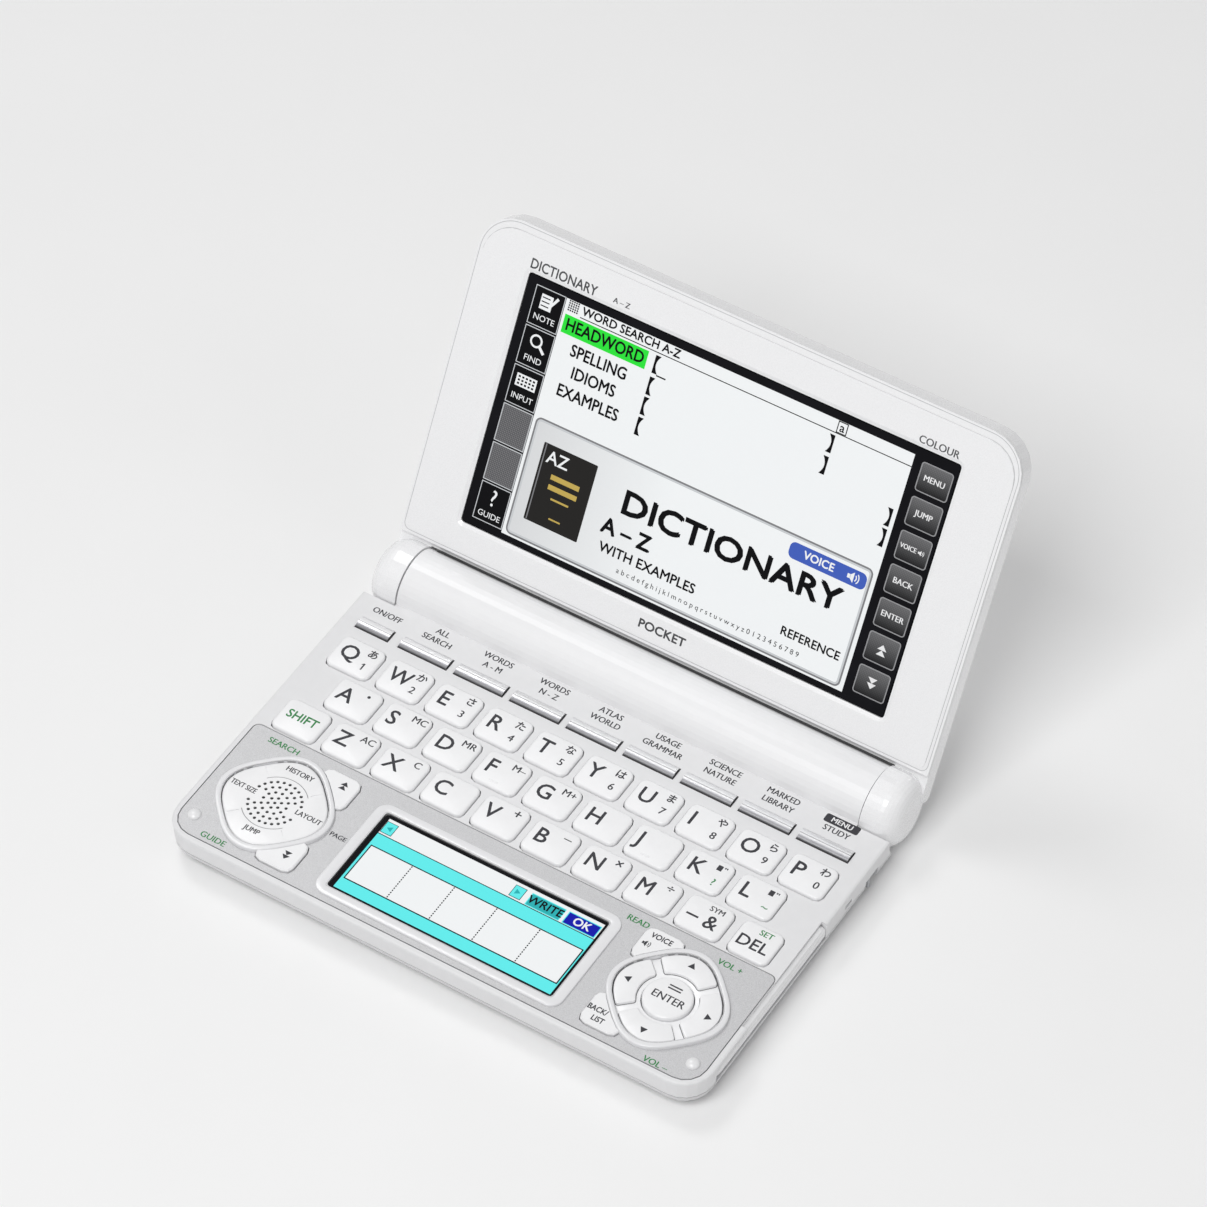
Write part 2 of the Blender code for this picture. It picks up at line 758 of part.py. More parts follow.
def build_cursor_pad():
    at = (DIAL_OFFSET, PADS_Y, 0.0)
    pad = make("cursor_pad", [pad_rings()], key_white(), at)
    low = DECK_TOP + ARROW_FLOOR_RISE
    high = DECK_TOP + OVERRUN
    well = circle(0.0, 0.0, ARROW_INNER_RADIUS, PAD_STEPS)
    hole = circle(0.0, 0.0, ENTER_RADIUS + KEY_GAP, PAD_STEPS)
    cut(pad, tool("arrow_well", [prism(well, low, high)], at))
    reach = DIAL_RADIUS + OVERRUN
    for i in range(2):
        channel = rectangle(-reach, reach, -ARROW_CHANNEL / 2, ARROW_CHANNEL / 2)
        groove = tool(f"arrow_channel_{i + 1}", [prism(channel, low, high)], at)
        groove.rotation_euler.z = QUARTER * (i + 1 / 2)
        cut(pad, groove)
    cut(pad, tool("enter_hole", [prism(hole, FLANGE_BOTTOM - OVERRUN, high)], at))
    smooth(pad)


def build_enter_key():
    top = DECK_TOP + ENTER_RISE
    side = circle(0.0, 0.0, ENTER_RADIUS, PAD_STEPS)
    crown = circle(0.0, 0.0, ENTER_RADIUS - DIAL_CHAMFER, PAD_STEPS)
    rings = [level(side, FLANGE_BOTTOM), level(side, top - DIAL_CHAMFER), level(crown, top)]
    smooth(make("enter_key", [rings], key_white(), (DIAL_OFFSET, PADS_Y, 0.0)))


# Control panel with its moulded rims, bezel and nubs

def panel_outline(grow=0.0):
    side = HALF_WIDTH - PANEL_SIDE + grow
    front = CASE_FRONT_Y + PANEL_FRONT
    fore = PANEL_FRONT_CORNER + grow
    rear = PANEL_REAR_CORNER + grow
    return corners(-side, side, front - grow, front + PANEL_DEPTH + grow, (fore, fore, rear, rear),
                   CASE_STEPS - 1)


def sub_outline(grow=0.0):
    return rounded(SUB_OFFSET, SUB_Y, SUB_WIDTH, SUB_HEIGHT, SUB_CORNER, grow)


def sub_body_outline(grow=0.0):
    width = SUB_WIDTH - 2 * SUB_BODY_INSET
    height = SUB_HEIGHT - 2 * SUB_BODY_INSET
    return rounded(SUB_OFFSET, SUB_Y, width, height, SUB_CORNER, grow)


def control_openings(low, high):
    # Openings for the sub display and the round pads
    stacks = [prism(sub_outline(), low, high)]
    for side in (-1, 1):
        stacks.append(prism(pad_outline(side * DIAL_OFFSET, PADS_Y, DIAL_RADIUS + KEY_GAP), low, high))
    return stacks


def corner_openings(name, low, high):
    # The corner keys' openings stop at the rims
    outlines = [corner_outline(side, way, KEY_GAP) for _, side, way in corner_keys()]
    holes = tool(name, [prism(outline, low, high) for outline in outlines])
    rims = [pad_outline(side * DIAL_OFFSET, PADS_Y, rim_radius()) for side in (-1, 1)]
    cut(holes, tool(f"{name}_rims", [prism(rim, low - OVERRUN, high + OVERRUN) for rim in rims]))
    return holes


def nub_rings(side):
    x = side * (HALF_WIDTH - NUB_SIDE)
    y = CASE_FRONT_Y + NUB_FRONT
    rings = [level(circle(x, y, NUB_RADIUS, PIN_STEPS), DECK_TOP - PANEL_THICKNESS / 2)]
    for i in range(CASE_STEPS - 1):
        angle = QUARTER * i / (CASE_STEPS - 1)
        radius = NUB_RADIUS * math.cos(angle)
        rings.append(level(circle(x, y, radius, PIN_STEPS), DECK_TOP + NUB_RISE * math.sin(angle)))
    return rings


def raised_rings(outline, rise, chamfer):
    # Moulded relief that starts inside the panel's thickness
    return [
        level(outline(0.0), DECK_TOP - PANEL_THICKNESS / 2),
        level(outline(0.0), DECK_TOP + rise - chamfer),
        level(outline(-chamfer), DECK_TOP + rise),
    ]


def bezel_outline(grow):
    return rounded(SUB_OFFSET, SUB_Y, BEZEL_WIDTH, BEZEL_HEIGHT, BEZEL_CORNER, grow, CASE_STEPS - 1)


def build_control_panel():
    panel = make("control_panel", [prism(panel_outline(), PANEL_BOTTOM, DECK_TOP)], panel_silver())
    stacks = [nub_rings(-1), nub_rings(1), raised_rings(bezel_outline, BEZEL_RISE, KEY_CHAMFER)]
    for side in (-1, 1):
        def outline(grow, side=side):
            return pad_outline(side * DIAL_OFFSET, PADS_Y, rim_radius() + grow)
        stacks.append(raised_rings(outline, RIM_RISE, DIAL_CHAMFER))
    join(panel, tool("panel_relief", stacks))
    low = PANEL_BOTTOM - OVERRUN
    high = DECK_TOP + OVERRUN
    cut(panel, tool("panel_openings", control_openings(low, high)))
    cut(panel, corner_openings("panel_corner_openings", low, high))
    smooth(panel)


# Shells of the base

def key_openings(low, high):
    stacks = []
    for _, x, y, width in letter_keys():
        stacks.append(prism(rounded(x, y, width, KEY_DEPTH, KEY_CORNER, KEY_GAP), low, high))
    reach = BAR_HALF_WIDTH + KEY_GAP
    for _, x, length in bar_keys():
        half = length / 2 + KEY_GAP
        stacks.append(prism(rectangle(x - half, x + half, BARS_Y - reach, BARS_Y + reach), low, high))
    return stacks


def side_pockets():
    # Room in the right wall for the flanges of the keys next to it
    stacks = []
    spread = KEY_FLANGE + SEAM
    for _, x, y, width in letter_keys():
        if x + width / 2 + spread > CAVITY_RIGHT:
            stacks.append(prism(rounded(x, y, width, KEY_DEPTH, KEY_CORNER, spread), SHEET_TOP, DECK_UNDERSIDE))
    return stacks


def wall_recess(name, front, rear, low, high, depth):
    outline = rectangle(HALF_WIDTH - depth, HALF_WIDTH + OVERRUN, HINGE_Y - front, HINGE_Y - rear)
    return tool(name, [prism(outline, low, high)])


def strap_tool(name):
    high = DECK_TOP - STRAP_BELOW_DECK
    return wall_recess(name, STRAP_FRONT, STRAP_REAR, high - STRAP_HEIGHT, high, STRAP_DEPTH)


def stylus_side():
    return HALF_WIDTH - STYLUS_INSET - STYLUS_WIDTH


def trough_tools():
    right = HALF_WIDTH + OVERRUN
    back = STYLUS_REAR_Y + SEAM
    trough = rectangle(stylus_side() - SEAM, right, STYLUS_FRONT_Y - SEAM, back)
    window = rectangle(HALF_WIDTH - WINDOW_WIDTH, right, HINGE_Y - WINDOW_FRONT, back)
    return [
        tool("stylus_trough", [prism(trough, PARTING - OVERRUN, TROUGH_TOP)]),
        tool("stylus_window", [prism(window, TROUGH_TOP - OVERRUN, DECK_TOP + OVERRUN)]),
    ]


def build_upper_case(cavity):
    upper = case_form("upper_case", shell_white())
    keep(upper, zone("upper_zone", PARTING + SEAM / 2, HINGE_Z + BARREL_RADIUS + OVERRUN))
    cut(upper, cavity, bay_tool(), cover_well("upper_cover_well", HINGE_Y - SEAM, HINGE_Z))
    cut(upper, tool("side_pockets", side_pockets()))
    low = DECK_UNDERSIDE - OVERRUN
    high = DECK_TOP + OVERRUN
    cut(upper, tool("key_openings", key_openings(low, high)))
    cut(upper, tool("panel_recess", [prism(panel_outline(SEAM), PANEL_BOTTOM - SEAM, high)]))
    cut(upper, tool("deck_openings", control_openings(low, high)))
    cut(upper, corner_openings("deck_corner_openings", low, high))
    pin_end = ARM_INNER - SEAM / 2 - PIN_LENGTH / 2 - SEAM
    cut(upper, tool("pin_bore", [rod(axis_circle(PIN_RADIUS + SEAM, PIN_STEPS), pin_end, HALF_WIDTH)]))
    stub_end = STUB_LENGTH + SEAM - ARM_INNER
    cut(upper, tool("stub_bore", [rod(axis_circle(STUB_RADIUS + SEAM, PIN_STEPS), -HALF_WIDTH, stub_end)]))
    cut(upper, *trough_tools())
    cut(upper, strap_tool("upper_strap_recess"))
    slot_high = DECK_TOP - SLOT_BELOW_DECK
    cut(upper, wall_recess("wall_slot", SLOT_FRONT, SLOT_REAR, slot_high - SLOT_HEIGHT, slot_high, SLOT_DEPTH))
    smooth(upper)


def boss_places():
    left = CAVITY_LEFT + BOSS_INSET
    right = CAVITY_RIGHT - BOSS_INSET
    front = CASE_FRONT_Y + WALL + BOSS_INSET
    back = CAVITY_REAR_Y - BOSS_INSET
    return [(x, y) for x in (left, (left + right) / 2, right) for y in (front, back)]


def build_lower_case(cavity):
    lower = case_form("lower_case", shell_white())
    keep(lower, zone("lower_zone", -OVERRUN, PARTING - SEAM / 2))
    well_front = HINGE_Y - COVER_LIP_END - SEAM
    cut(lower, cavity, cover_well("lower_cover_well", well_front, PARTING + OVERRUN))
    low = FLOOR_TOP - FLOOR_THICKNESS / 2
    stacks = [prism(circle(x, y, BOSS_RADIUS, PIN_STEPS), low, BOARD_BOTTOM - SEAM) for x, y in boss_places()]
    front = CASE_FRONT_Y + FRONT_FOOT_FRONT
    rear_x = (COVER_END + BARREL_END) / 2
    for side in (-1, 1):
        x = side * (HALF_WIDTH - FRONT_FOOT_SIDE)
        stacks.append(prism(circle(x, front, FRONT_FOOT_RADIUS, PIN_STEPS), 0.0, low))
        stacks.append(prism(circle(side * rear_x, HINGE_Y, REAR_FOOT_RADIUS, PIN_STEPS), 0.0, low))
    join(lower, tool("bosses_and_feet", stacks))
    cut(lower, strap_tool("lower_strap_recess"))
    smooth(lower)


# Pieces inside the base

def build_sub_display():
    flange_bottom = FLANGE_TOP - SUB_FLANGE_THICKNESS
    rings = [
        level(sub_body_outline(), SHEET_BOTTOM),
        level(sub_body_outline(), flange_bottom),
        level(sub_outline(SUB_FLANGE), flange_bottom),
        level(sub_outline(SUB_FLANGE), FLANGE_TOP),
        level(sub_outline(-SEAM), FLANGE_TOP),
        level(sub_outline(-SEAM), DECK_TOP + SUB_RISE),
    ]
    make("sub_display", [rings], display_black())


def speaker_opening():
    return circle(-DIAL_OFFSET, PADS_Y, SPEAKER_RADIUS + SPEAKER_GAP, PAD_STEPS)


def build_key_sheet():
    sheet = make("key_sheet", [prism(cavity_outline(SHEET_INSET), SHEET_BOTTOM, SHEET_TOP)], sheet_grey())
    low = SHEET_BOTTOM - OVERRUN
    high = SHEET_TOP + OVERRUN
    window = sub_body_outline(SEAM)
    cut(sheet, tool("sheet_openings", [prism(speaker_opening(), low, high), prism(window, low, high)]))


def build_main_board():
    board = make("main_board", [prism(cavity_outline(BOARD_INSET), BOARD_BOTTOM, BOARD_TOP)], board_green())
    opening = prism(speaker_opening(), BOARD_BOTTOM - OVERRUN, BOARD_TOP + OVERRUN)
    cut(board, tool("board_opening", [opening]))
    stacks = []
    for width, depth, x, y in CHIPS.values():
        outline = rectangle(x - width / 2, x + width / 2, HINGE_Y + y - depth / 2, HINGE_Y + y + depth / 2)
        stacks.append(prism(outline, BOARD_BOTTOM - CHIP_DEPTH, BOARD_BOTTOM + BOARD_THICKNESS / 2))
    join(board, tool("board_chips", stacks))


def build_speaker():
    bottom = FLOOR_TOP + SEAM
    magnet = circle(-DIAL_OFFSET, PADS_Y, MAGNET_RADIUS, PAD_STEPS)
    basket = circle(-DIAL_OFFSET, PADS_Y, SPEAKER_RADIUS, PAD_STEPS)
    rings = [
        level(magnet, bottom),
        level(magnet, bottom + MAGNET_DEPTH),
        level(basket, bottom + MAGNET_DEPTH),
        level(basket, bottom + SPEAKER_DEPTH),
    ]
    smooth(make("speaker", [rings], speaker_grey()))


def build_stylus():
    bottom = PARTING + SEAM / 2
    height = TROUGH_TOP - SEAM - bottom
    outline = rounded(0.0, 0.0, STYLUS_WIDTH, height, STYLUS_ROUND)
    outer = STYLUS_WIDTH / 2

    def section(y, share):
        # Every section keeps its outer side flush with the wall
        return [(outer - (outer - x) * share, y, z * share) for x, z in outline]
    rings = [
        section(0.0, HEAD_SHARE),
        section(-STYLUS_HEAD, 1.0),
        section(STYLUS_NIB - STYLUS_LENGTH, 1.0),
        section(-STYLUS_LENGTH, NIB_SHARE),
    ]
    at = (stylus_side() + STYLUS_WIDTH / 2, STYLUS_REAR_Y, bottom + height / 2)
    smooth(make("stylus", [rings], shell_white(), at))


def build_hinge_pin():
    outline = circle(0.0, 0.0, PIN_RADIUS, PIN_STEPS)
    at = (ARM_INNER - SEAM / 2, HINGE_Y, HINGE_Z)
    smooth(make("hinge_pin", [rod(outline, -PIN_LENGTH / 2, PIN_LENGTH / 2)], pin_steel(), at))


# Lid, in its own frame: Y runs up the lid from the hinge axis, and Z points out of its face

def lid_pivot():
    pivot = bpy.data.objects.new("lid_pivot", None)
    bpy.context.scene.collection.objects.link(pivot)
    pivot.location = (0.0, HINGE_Y, HINGE_Z)
    pivot.rotation_euler.x = LID_RISE
    return pivot


def lid_outline(start, inset, start_corner):
    side = HALF_WIDTH - inset
    top = LID_CORNER - inset
    return corners(-side, side, start, LID_LENGTH - inset, (start_corner, start_corner, top, top), CASE_STEPS)


def axis_rod(radius, start, end, steps=PIN_STEPS):
    return rod(circle(0.0, 0.0, radius, steps), start, end)


def arm_rings(side):
    rings = [(ARM_INNER - OVERRUN, ARM_RADIUS)]
    for i in range(ARM_STEPS):
        angle = QUARTER * i / (ARM_STEPS - 1)
        x = HALF_WIDTH - ARM_END_STEP - ARM_END_ROUND * (1 - math.sin(angle))
        rings.append((x, ARM_RADIUS - ARM_END_ROUND * (1 - math.cos(angle))))
    stack = [across(circle(0.0, 0.0, radius, BARREL_STEPS, 1 / 2), side * x) for x, radius in rings]
    return stack if side > 0 else stack[::-1]


def tray_rings():
    rings = []
    for i in range(CASE_STEPS):
        angle = QUARTER * i / (CASE_STEPS - 1)
        inset = LID_BACK_EDGE * (1 - math.sin(angle))
        height = LID_BACK + LID_BACK_EDGE * (1 - math.cos(angle))
        rings.append(level(lid_outline(0.0, inset, LID_ARM_CORNER - inset), height))
    rings.append(level(lid_outline(0.0, 0.0, LID_ARM_CORNER), TRAY_RIM))
    return rings


def build_lid_back_cover(pivot):
    cover = make("lid_back_cover", [tray_rings()], lid_pearl(), parent=pivot)
    tray = prism(lid_outline(TRAY_START, WALL, FRAME_CORNER), LID_BACK + WALL, OVERRUN)
    cut(cover, tool("lid_tray", [tray], parent=pivot))
    join(cover, tool("lid_arms", [arm_rings(-1), arm_rings(1)], parent=pivot))
    barrel = axis_rod(BARREL_RADIUS + BARREL_GAP, -ARM_INNER, ARM_INNER, BARREL_STEPS)
    cut(cover, tool("lid_barrel_space", [barrel], parent=pivot))
    heel = rectangle(-ARM_INNER, ARM_INNER, -OVERRUN, LID_HEEL)
    cut(cover, tool("lid_heel_space", [prism(heel, LID_BACK - OVERRUN, 0.0)], parent=pivot))
    stub_end = STUB_LENGTH - ARM_INNER
    join(cover, tool("lid_stub", [axis_rod(STUB_RADIUS, -ARM_INNER - OVERRUN, stub_end)], parent=pivot))
    way = axis_rod(WIRE_WAY_RADIUS, stub_end - WIRE_WAY_DEPTH, stub_end + OVERRUN)
    cut(cover, tool("wire_way", [way], parent=pivot))
    pin_end = ARM_INNER - SEAM / 2 + PIN_LENGTH / 2 + SEAM
    socket = axis_rod(PIN_RADIUS + SEAM, ARM_INNER - OVERRUN, pin_end)
    cut(cover, tool("arm_socket", [socket], parent=pivot))
    smooth(cover)


def screen_outline(grow=0.0):
    return rounded(0.0, SCREEN_CENTRE, SCREEN_WIDTH, SCREEN_HEIGHT, FRAME_CORNER, grow)


def face_outline():
    side = HALF_WIDTH - FACE_RIM
    top = LID_CORNER - FACE_RIM
    return corners(-side, side, FRAME_START + FACE_RIM_BOTTOM, LID_LENGTH - FACE_RIM_TOP,
                   (FACE_BOTTOM_CORNER, FACE_BOTTOM_CORNER, top, top), CASE_STEPS)


def frame_lip(pivot):
    gap = WALL + SEAM
    outer = lid_outline(TRAY_START + SEAM, gap, LIP_WIDTH + FRAME_CORNER)
    inner = lid_outline(TRAY_START + SEAM + LIP_WIDTH, gap + LIP_WIDTH, FRAME_CORNER)
    bm = bmesh.new()
    skin_frame(bm, outer, inner, FRAME_BACK - LIP_DEPTH, FRAME_BACK + FRAME_THICKNESS / 3)
    lip = hide_tool(place("frame_lip", bm))
    lip.parent = pivot
    return lip


def build_lid_front_frame(pivot):
    back = lid_outline(FRAME_START, 0.0, FRAME_CORNER)
    front = lid_outline(FRAME_START + FRAME_FOOT_SLOPE, 0.0, FRAME_CORNER)
    rings = [level(back, FRAME_BACK), level(front, FACE_EDGE), level(face_outline(), FACE_EDGE),
             level(face_outline(), FACE)]
    frame = make("lid_front_frame", [rings], lid_pearl(), parent=pivot)
    join(frame, frame_lip(pivot))
    opening = [
        level(screen_outline(SEAM), FRAME_BACK - OVERRUN),
        level(screen_outline(SEAM), FACE - SCREEN_RECESS),
        level(screen_outline(SEAM + SCREEN_CHAMFER), FACE),
        level(screen_outline(SEAM + 2 * SCREEN_CHAMFER), FACE + SCREEN_RECESS),
    ]
    cut(frame, tool("screen_opening", [opening], parent=pivot))
    smooth(frame)


def build_main_display(pivot):
    rings = [
        level(screen_outline(SCREEN_FLANGE), LID_BACK + WALL + SCREEN_BACK_GAP),
        level(screen_outline(SCREEN_FLANGE), TRAY_RIM),
        level(screen_outline(), TRAY_RIM),
        level(screen_outline(), FACE - SCREEN_RECESS),
    ]
    make("main_display", [rings], display_black(), parent=pivot)


def main():
    for old in list(bpy.data.objects):
        bpy.data.objects.remove(old, do_unlink=True)
    cavity = cavity_tool()
    build_lower_case(cavity)
    build_upper_case(cavity)
    build_battery_cover()
    build_cell("battery_left", -CELL_OVERALL - SEAM / 2)
    build_cell("battery_right", SEAM / 2)
    build_main_board()
    build_key_sheet()
    build_speaker()
    build_control_panel()
    build_sub_display()
    build_letter_keys()
    build_bar_keys()
    build_corner_keys()
    build_dial_plate()
    build_cursor_pad()
    build_enter_key()
    build_stylus()
    build_hinge_pin()
    pivot = lid_pivot()
    build_lid_back_cover(pivot)
    build_lid_front_frame(pivot)
    build_main_display(pivot)


main()
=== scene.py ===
import math

import bmesh
import bpy
from mathutils import Matrix, Vector


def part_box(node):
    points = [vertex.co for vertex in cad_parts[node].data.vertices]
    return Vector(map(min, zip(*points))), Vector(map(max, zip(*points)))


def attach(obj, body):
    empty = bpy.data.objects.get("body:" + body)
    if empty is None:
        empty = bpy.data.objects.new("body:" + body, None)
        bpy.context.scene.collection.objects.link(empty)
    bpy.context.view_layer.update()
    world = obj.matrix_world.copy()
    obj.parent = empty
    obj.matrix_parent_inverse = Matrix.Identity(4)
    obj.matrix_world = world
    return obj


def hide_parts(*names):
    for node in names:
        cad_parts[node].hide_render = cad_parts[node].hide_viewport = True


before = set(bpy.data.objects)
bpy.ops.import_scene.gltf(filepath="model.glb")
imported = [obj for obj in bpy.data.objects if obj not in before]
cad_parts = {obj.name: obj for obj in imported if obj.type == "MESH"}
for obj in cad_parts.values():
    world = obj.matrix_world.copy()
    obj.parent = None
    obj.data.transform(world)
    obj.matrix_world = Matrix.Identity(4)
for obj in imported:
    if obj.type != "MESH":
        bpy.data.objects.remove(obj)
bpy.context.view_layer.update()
print("frame loaded:", len(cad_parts), "nodes")

# Pocket dictionary, open on a pale table. Lengths in the dictionaries are millimetres.
mm = 0.001
quarter = math.pi / 2

pinLow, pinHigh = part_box("hinge_pin")
hingeY = (pinLow.y + pinHigh.y) / 2
hingeZ = (pinLow.z + pinHigh.z) / 2
deckTop = hingeZ + 0.8 * mm
padsY = hingeY - 76.4 * mm
lidFrame = Matrix.Translation((0, hingeY, hingeZ)) @ Matrix.Rotation(math.radians(60.5), 4, "X")
deckFrame = Matrix.Translation((0, hingeY, deckTop))       # y runs from the hinge axis, z from the deck


# Node helpers for the finishes

def newFinish(name, colour, roughness, metallic=0.0):
    made = bpy.data.materials.new(name)
    made.use_nodes = True
    shader = made.node_tree.nodes["Principled BSDF"]
    shader.inputs["Base Color"].default_value = (*colour, 1)
    shader.inputs["Roughness"].default_value = roughness
    shader.inputs["Metallic"].default_value = metallic
    made.diffuse_color = (*colour, 1)
    return made, made.node_tree, shader


def addNode(tree, kind, **values):
    node = tree.nodes.new(kind)
    for key, value in values.items():
        if hasattr(node, key):
            setattr(node, key, value)
        else:
            node.inputs[key.replace("_", " ")].default_value = value
    return node


def objectPoint(tree, stretch=(1, 1, 1)):
    place = addNode(tree, "ShaderNodeTexCoord")
    spread = addNode(tree, "ShaderNodeMapping")
    spread.inputs["Scale"].default_value = stretch
    tree.links.new(place.outputs["Object"], spread.inputs["Vector"])
    return spread.outputs["Vector"]


def grain(tree, size, detail=3.0, stretch=(1, 1, 1)):
    noise = addNode(tree, "ShaderNodeTexNoise", Scale=1 / (size * mm), Detail=detail, Roughness=0.55)
    tree.links.new(objectPoint(tree, stretch), noise.inputs["Vector"])
    return noise.outputs["Fac"]


def between(tree, source, low, high, start=0.3, stop=0.7):
    ramp = addNode(tree, "ShaderNodeValToRGB")
    ramp.color_ramp.elements[0].position = start
    ramp.color_ramp.elements[1].position = stop
    ramp.color_ramp.elements[0].color = (*low, 1)
    ramp.color_ramp.elements[1].color = (*high, 1)
    tree.links.new(source, ramp.inputs["Fac"])
    return ramp.outputs["Color"]


def shade(colour, share):
    return tuple(min(1.0, c * share) for c in colour)


def varyColour(tree, shader, source, colour, spread):
    made = between(tree, source, shade(colour, 1 - spread), shade(colour, 1 + spread))
    tree.links.new(made, shader.inputs["Base Color"])


def varyRoughness(tree, shader, source, low, high):
    span = addNode(tree, "ShaderNodeMapRange")
    span.inputs["From Min"].default_value = 0.3
    span.inputs["From Max"].default_value = 0.7
    span.inputs["To Min"].default_value = low
    span.inputs["To Max"].default_value = high
    tree.links.new(source, span.inputs["Value"])
    tree.links.new(span.outputs["Result"], shader.inputs["Roughness"])


def addRelief(tree, shader, source, depth, strength=0.5):
    bump = addNode(tree, "ShaderNodeBump")
    bump.inputs["Strength"].default_value = strength
    bump.inputs["Distance"].default_value = depth * mm
    tree.links.new(source, bump.inputs["Height"])
    tree.links.new(bump.outputs["Normal"], shader.inputs["Normal"])


# Finishes

finishes = {}

plasticLooks = {
    # name: colour, roughness low and high, colour spread, grain size, grain depth, coat
    "caseWhite": ((0.775, 0.775, 0.785), 0.34, 0.46, 0.012, 0.30, 0.010, 0.10),
    "keyWhite": ((0.89, 0.89, 0.90), 0.28, 0.38, 0.010, 0.22, 0.006, 0.20),
    "rimWhite": ((0.80, 0.80, 0.815), 0.16, 0.24, 0.010, 0.60, 0.003, 0.50),
    "nubWhite": ((0.82, 0.82, 0.83), 0.22, 0.30, 0.015, 0.35, 0.004, 0.30),
    "stylusWhite": ((0.84, 0.84, 0.85), 0.18, 0.26, 0.012, 0.45, 0.003, 0.40),
    "rubberGrey": ((0.09, 0.09, 0.095), 0.62, 0.80, 0.080, 0.25, 0.030, 0.0),
    # black used as painted shade: bar slots, grille hole bottoms, hinge gap
    "paintedShadeBlack": ((0.012, 0.012, 0.013), 0.45, 0.65, 0.150, 0.30, 0.010, 0.0),
    "inkDark": ((0.016, 0.016, 0.022), 0.50, 0.62, 0.120, 0.12, 0.002, 0.0),
    "inkGreen": ((0.012, 0.20, 0.045), 0.50, 0.62, 0.100, 0.12, 0.002, 0.0),
    "inkEdge": ((0.30, 0.30, 0.31), 0.30, 0.42, 0.050, 0.20, 0.002, 0.0),
    "inkLid": ((0.045, 0.045, 0.05), 0.45, 0.58, 0.080, 0.12, 0.002, 0.0),
    "paintedGrooveShade": ((0.50, 0.50, 0.51), 0.40, 0.52, 0.040, 0.20, 0.002, 0.0),
    "paintedStepShade": ((0.36, 0.36, 0.37), 0.40, 0.52, 0.040, 0.20, 0.002, 0.0),
    "paintedGapShade": ((0.10, 0.10, 0.105), 0.45, 0.60, 0.050, 0.20, 0.002, 0.0),
    "inkWhite": ((0.86, 0.86, 0.87), 0.42, 0.55, 0.020, 0.12, 0.002, 0.0),
    "sheetGrey": ((0.30, 0.31, 0.33), 0.60, 0.75, 0.060, 0.50, 0.020, 0.0),
}


def makePlastics():
    for name, (colour, smooth, dull, spread, size, depth, coat) in plasticLooks.items():
        made, tree, shader = newFinish(name, colour, (smooth + dull) / 2)
        shader.inputs["Coat Weight"].default_value = coat
        shader.inputs["Coat Roughness"].default_value = 0.12
        varyColour(tree, shader, grain(tree, 9 * size, 4), colour, spread)
        varyRoughness(tree, shader, grain(tree, 4 * size), smooth, dull)
        addRelief(tree, shader, grain(tree, size, 2), depth)
        finishes[name] = made


pearlLook = {"colour": (0.885, 0.885, 0.895), "flake": 0.10, "flakeSpread": 0.018, "coat": 0.8, "depth": 0.004}


def makeLidPearl():
    made, tree, shader = newFinish("lidPearl", pearlLook["colour"], 0.3)
    shader.inputs["Coat Weight"].default_value = pearlLook["coat"]
    shader.inputs["Coat Roughness"].default_value = 0.06
    flakes = addNode(tree, "ShaderNodeTexVoronoi", Scale=1 / (pearlLook["flake"] * mm))
    tree.links.new(objectPoint(tree), flakes.inputs["Vector"])
    split = addNode(tree, "ShaderNodeSeparateColor")
    tree.links.new(flakes.outputs["Color"], split.inputs["Color"])
    varyColour(tree, shader, split.outputs["Red"], pearlLook["colour"], pearlLook["flakeSpread"])
    varyRoughness(tree, shader, split.outputs["Green"], 0.22, 0.36)
    addRelief(tree, shader, grain(tree, 1.8, 2), pearlLook["depth"], 0.25)
    finishes["lidPearl"] = made


silverLook = {"colour": (0.53, 0.53, 0.54), "metallic": 0.30, "flake": 0.09, "flakeSpread": 0.10, "depth": 0.004}


def makePanelSilver():
    made, tree, shader = newFinish("panelSilver", silverLook["colour"], 0.4, silverLook["metallic"])
    flakes = addNode(tree, "ShaderNodeTexVoronoi", Scale=1 / (silverLook["flake"] * mm))
    tree.links.new(objectPoint(tree), flakes.inputs["Vector"])
    split = addNode(tree, "ShaderNodeSeparateColor")
    tree.links.new(flakes.outputs["Color"], split.inputs["Color"])
    varyColour(tree, shader, split.outputs["Red"], silverLook["colour"], silverLook["flakeSpread"])
    varyRoughness(tree, shader, split.outputs["Blue"], 0.36, 0.50)
    addRelief(tree, shader, grain(tree, 0.2, 2), silverLook["depth"], 0.4)
    finishes["panelSilver"] = made


metalLooks = {
    # name: colour, roughness low and high, streak size, stretch across and along, relief depth
    "pinSteel": ((0.50, 0.51, 0.53), 0.26, 0.42, 0.4, (1, 0.05, 0.05), 0.006),
    "screwSteel": ((0.42, 0.43, 0.45), 0.30, 0.45, 0.3, (1, 1, 0.2), 0.006),
    "speakerMetal": ((0.10, 0.10, 0.11), 0.35, 0.55, 0.6, (1, 1, 1), 0.010),
}


def makeMetals():
    for name, (colour, smooth, dull, size, stretch, depth) in metalLooks.items():
        made, tree, shader = newFinish(name, colour, (smooth + dull) / 2, 1.0)
        streaks = grain(tree, size, 3, stretch)
        varyColour(tree, shader, streaks, colour, 0.05)
        varyRoughness(tree, shader, streaks, smooth, dull)
        addRelief(tree, shader, streaks, depth, 0.3)
        finishes[name] = made


barPaintedReflection = {"front": (0.20, 0.20, 0.21), "middle": (0.38, 0.38, 0.40), "back": (0.80, 0.80, 0.81), "spread": 1.5}


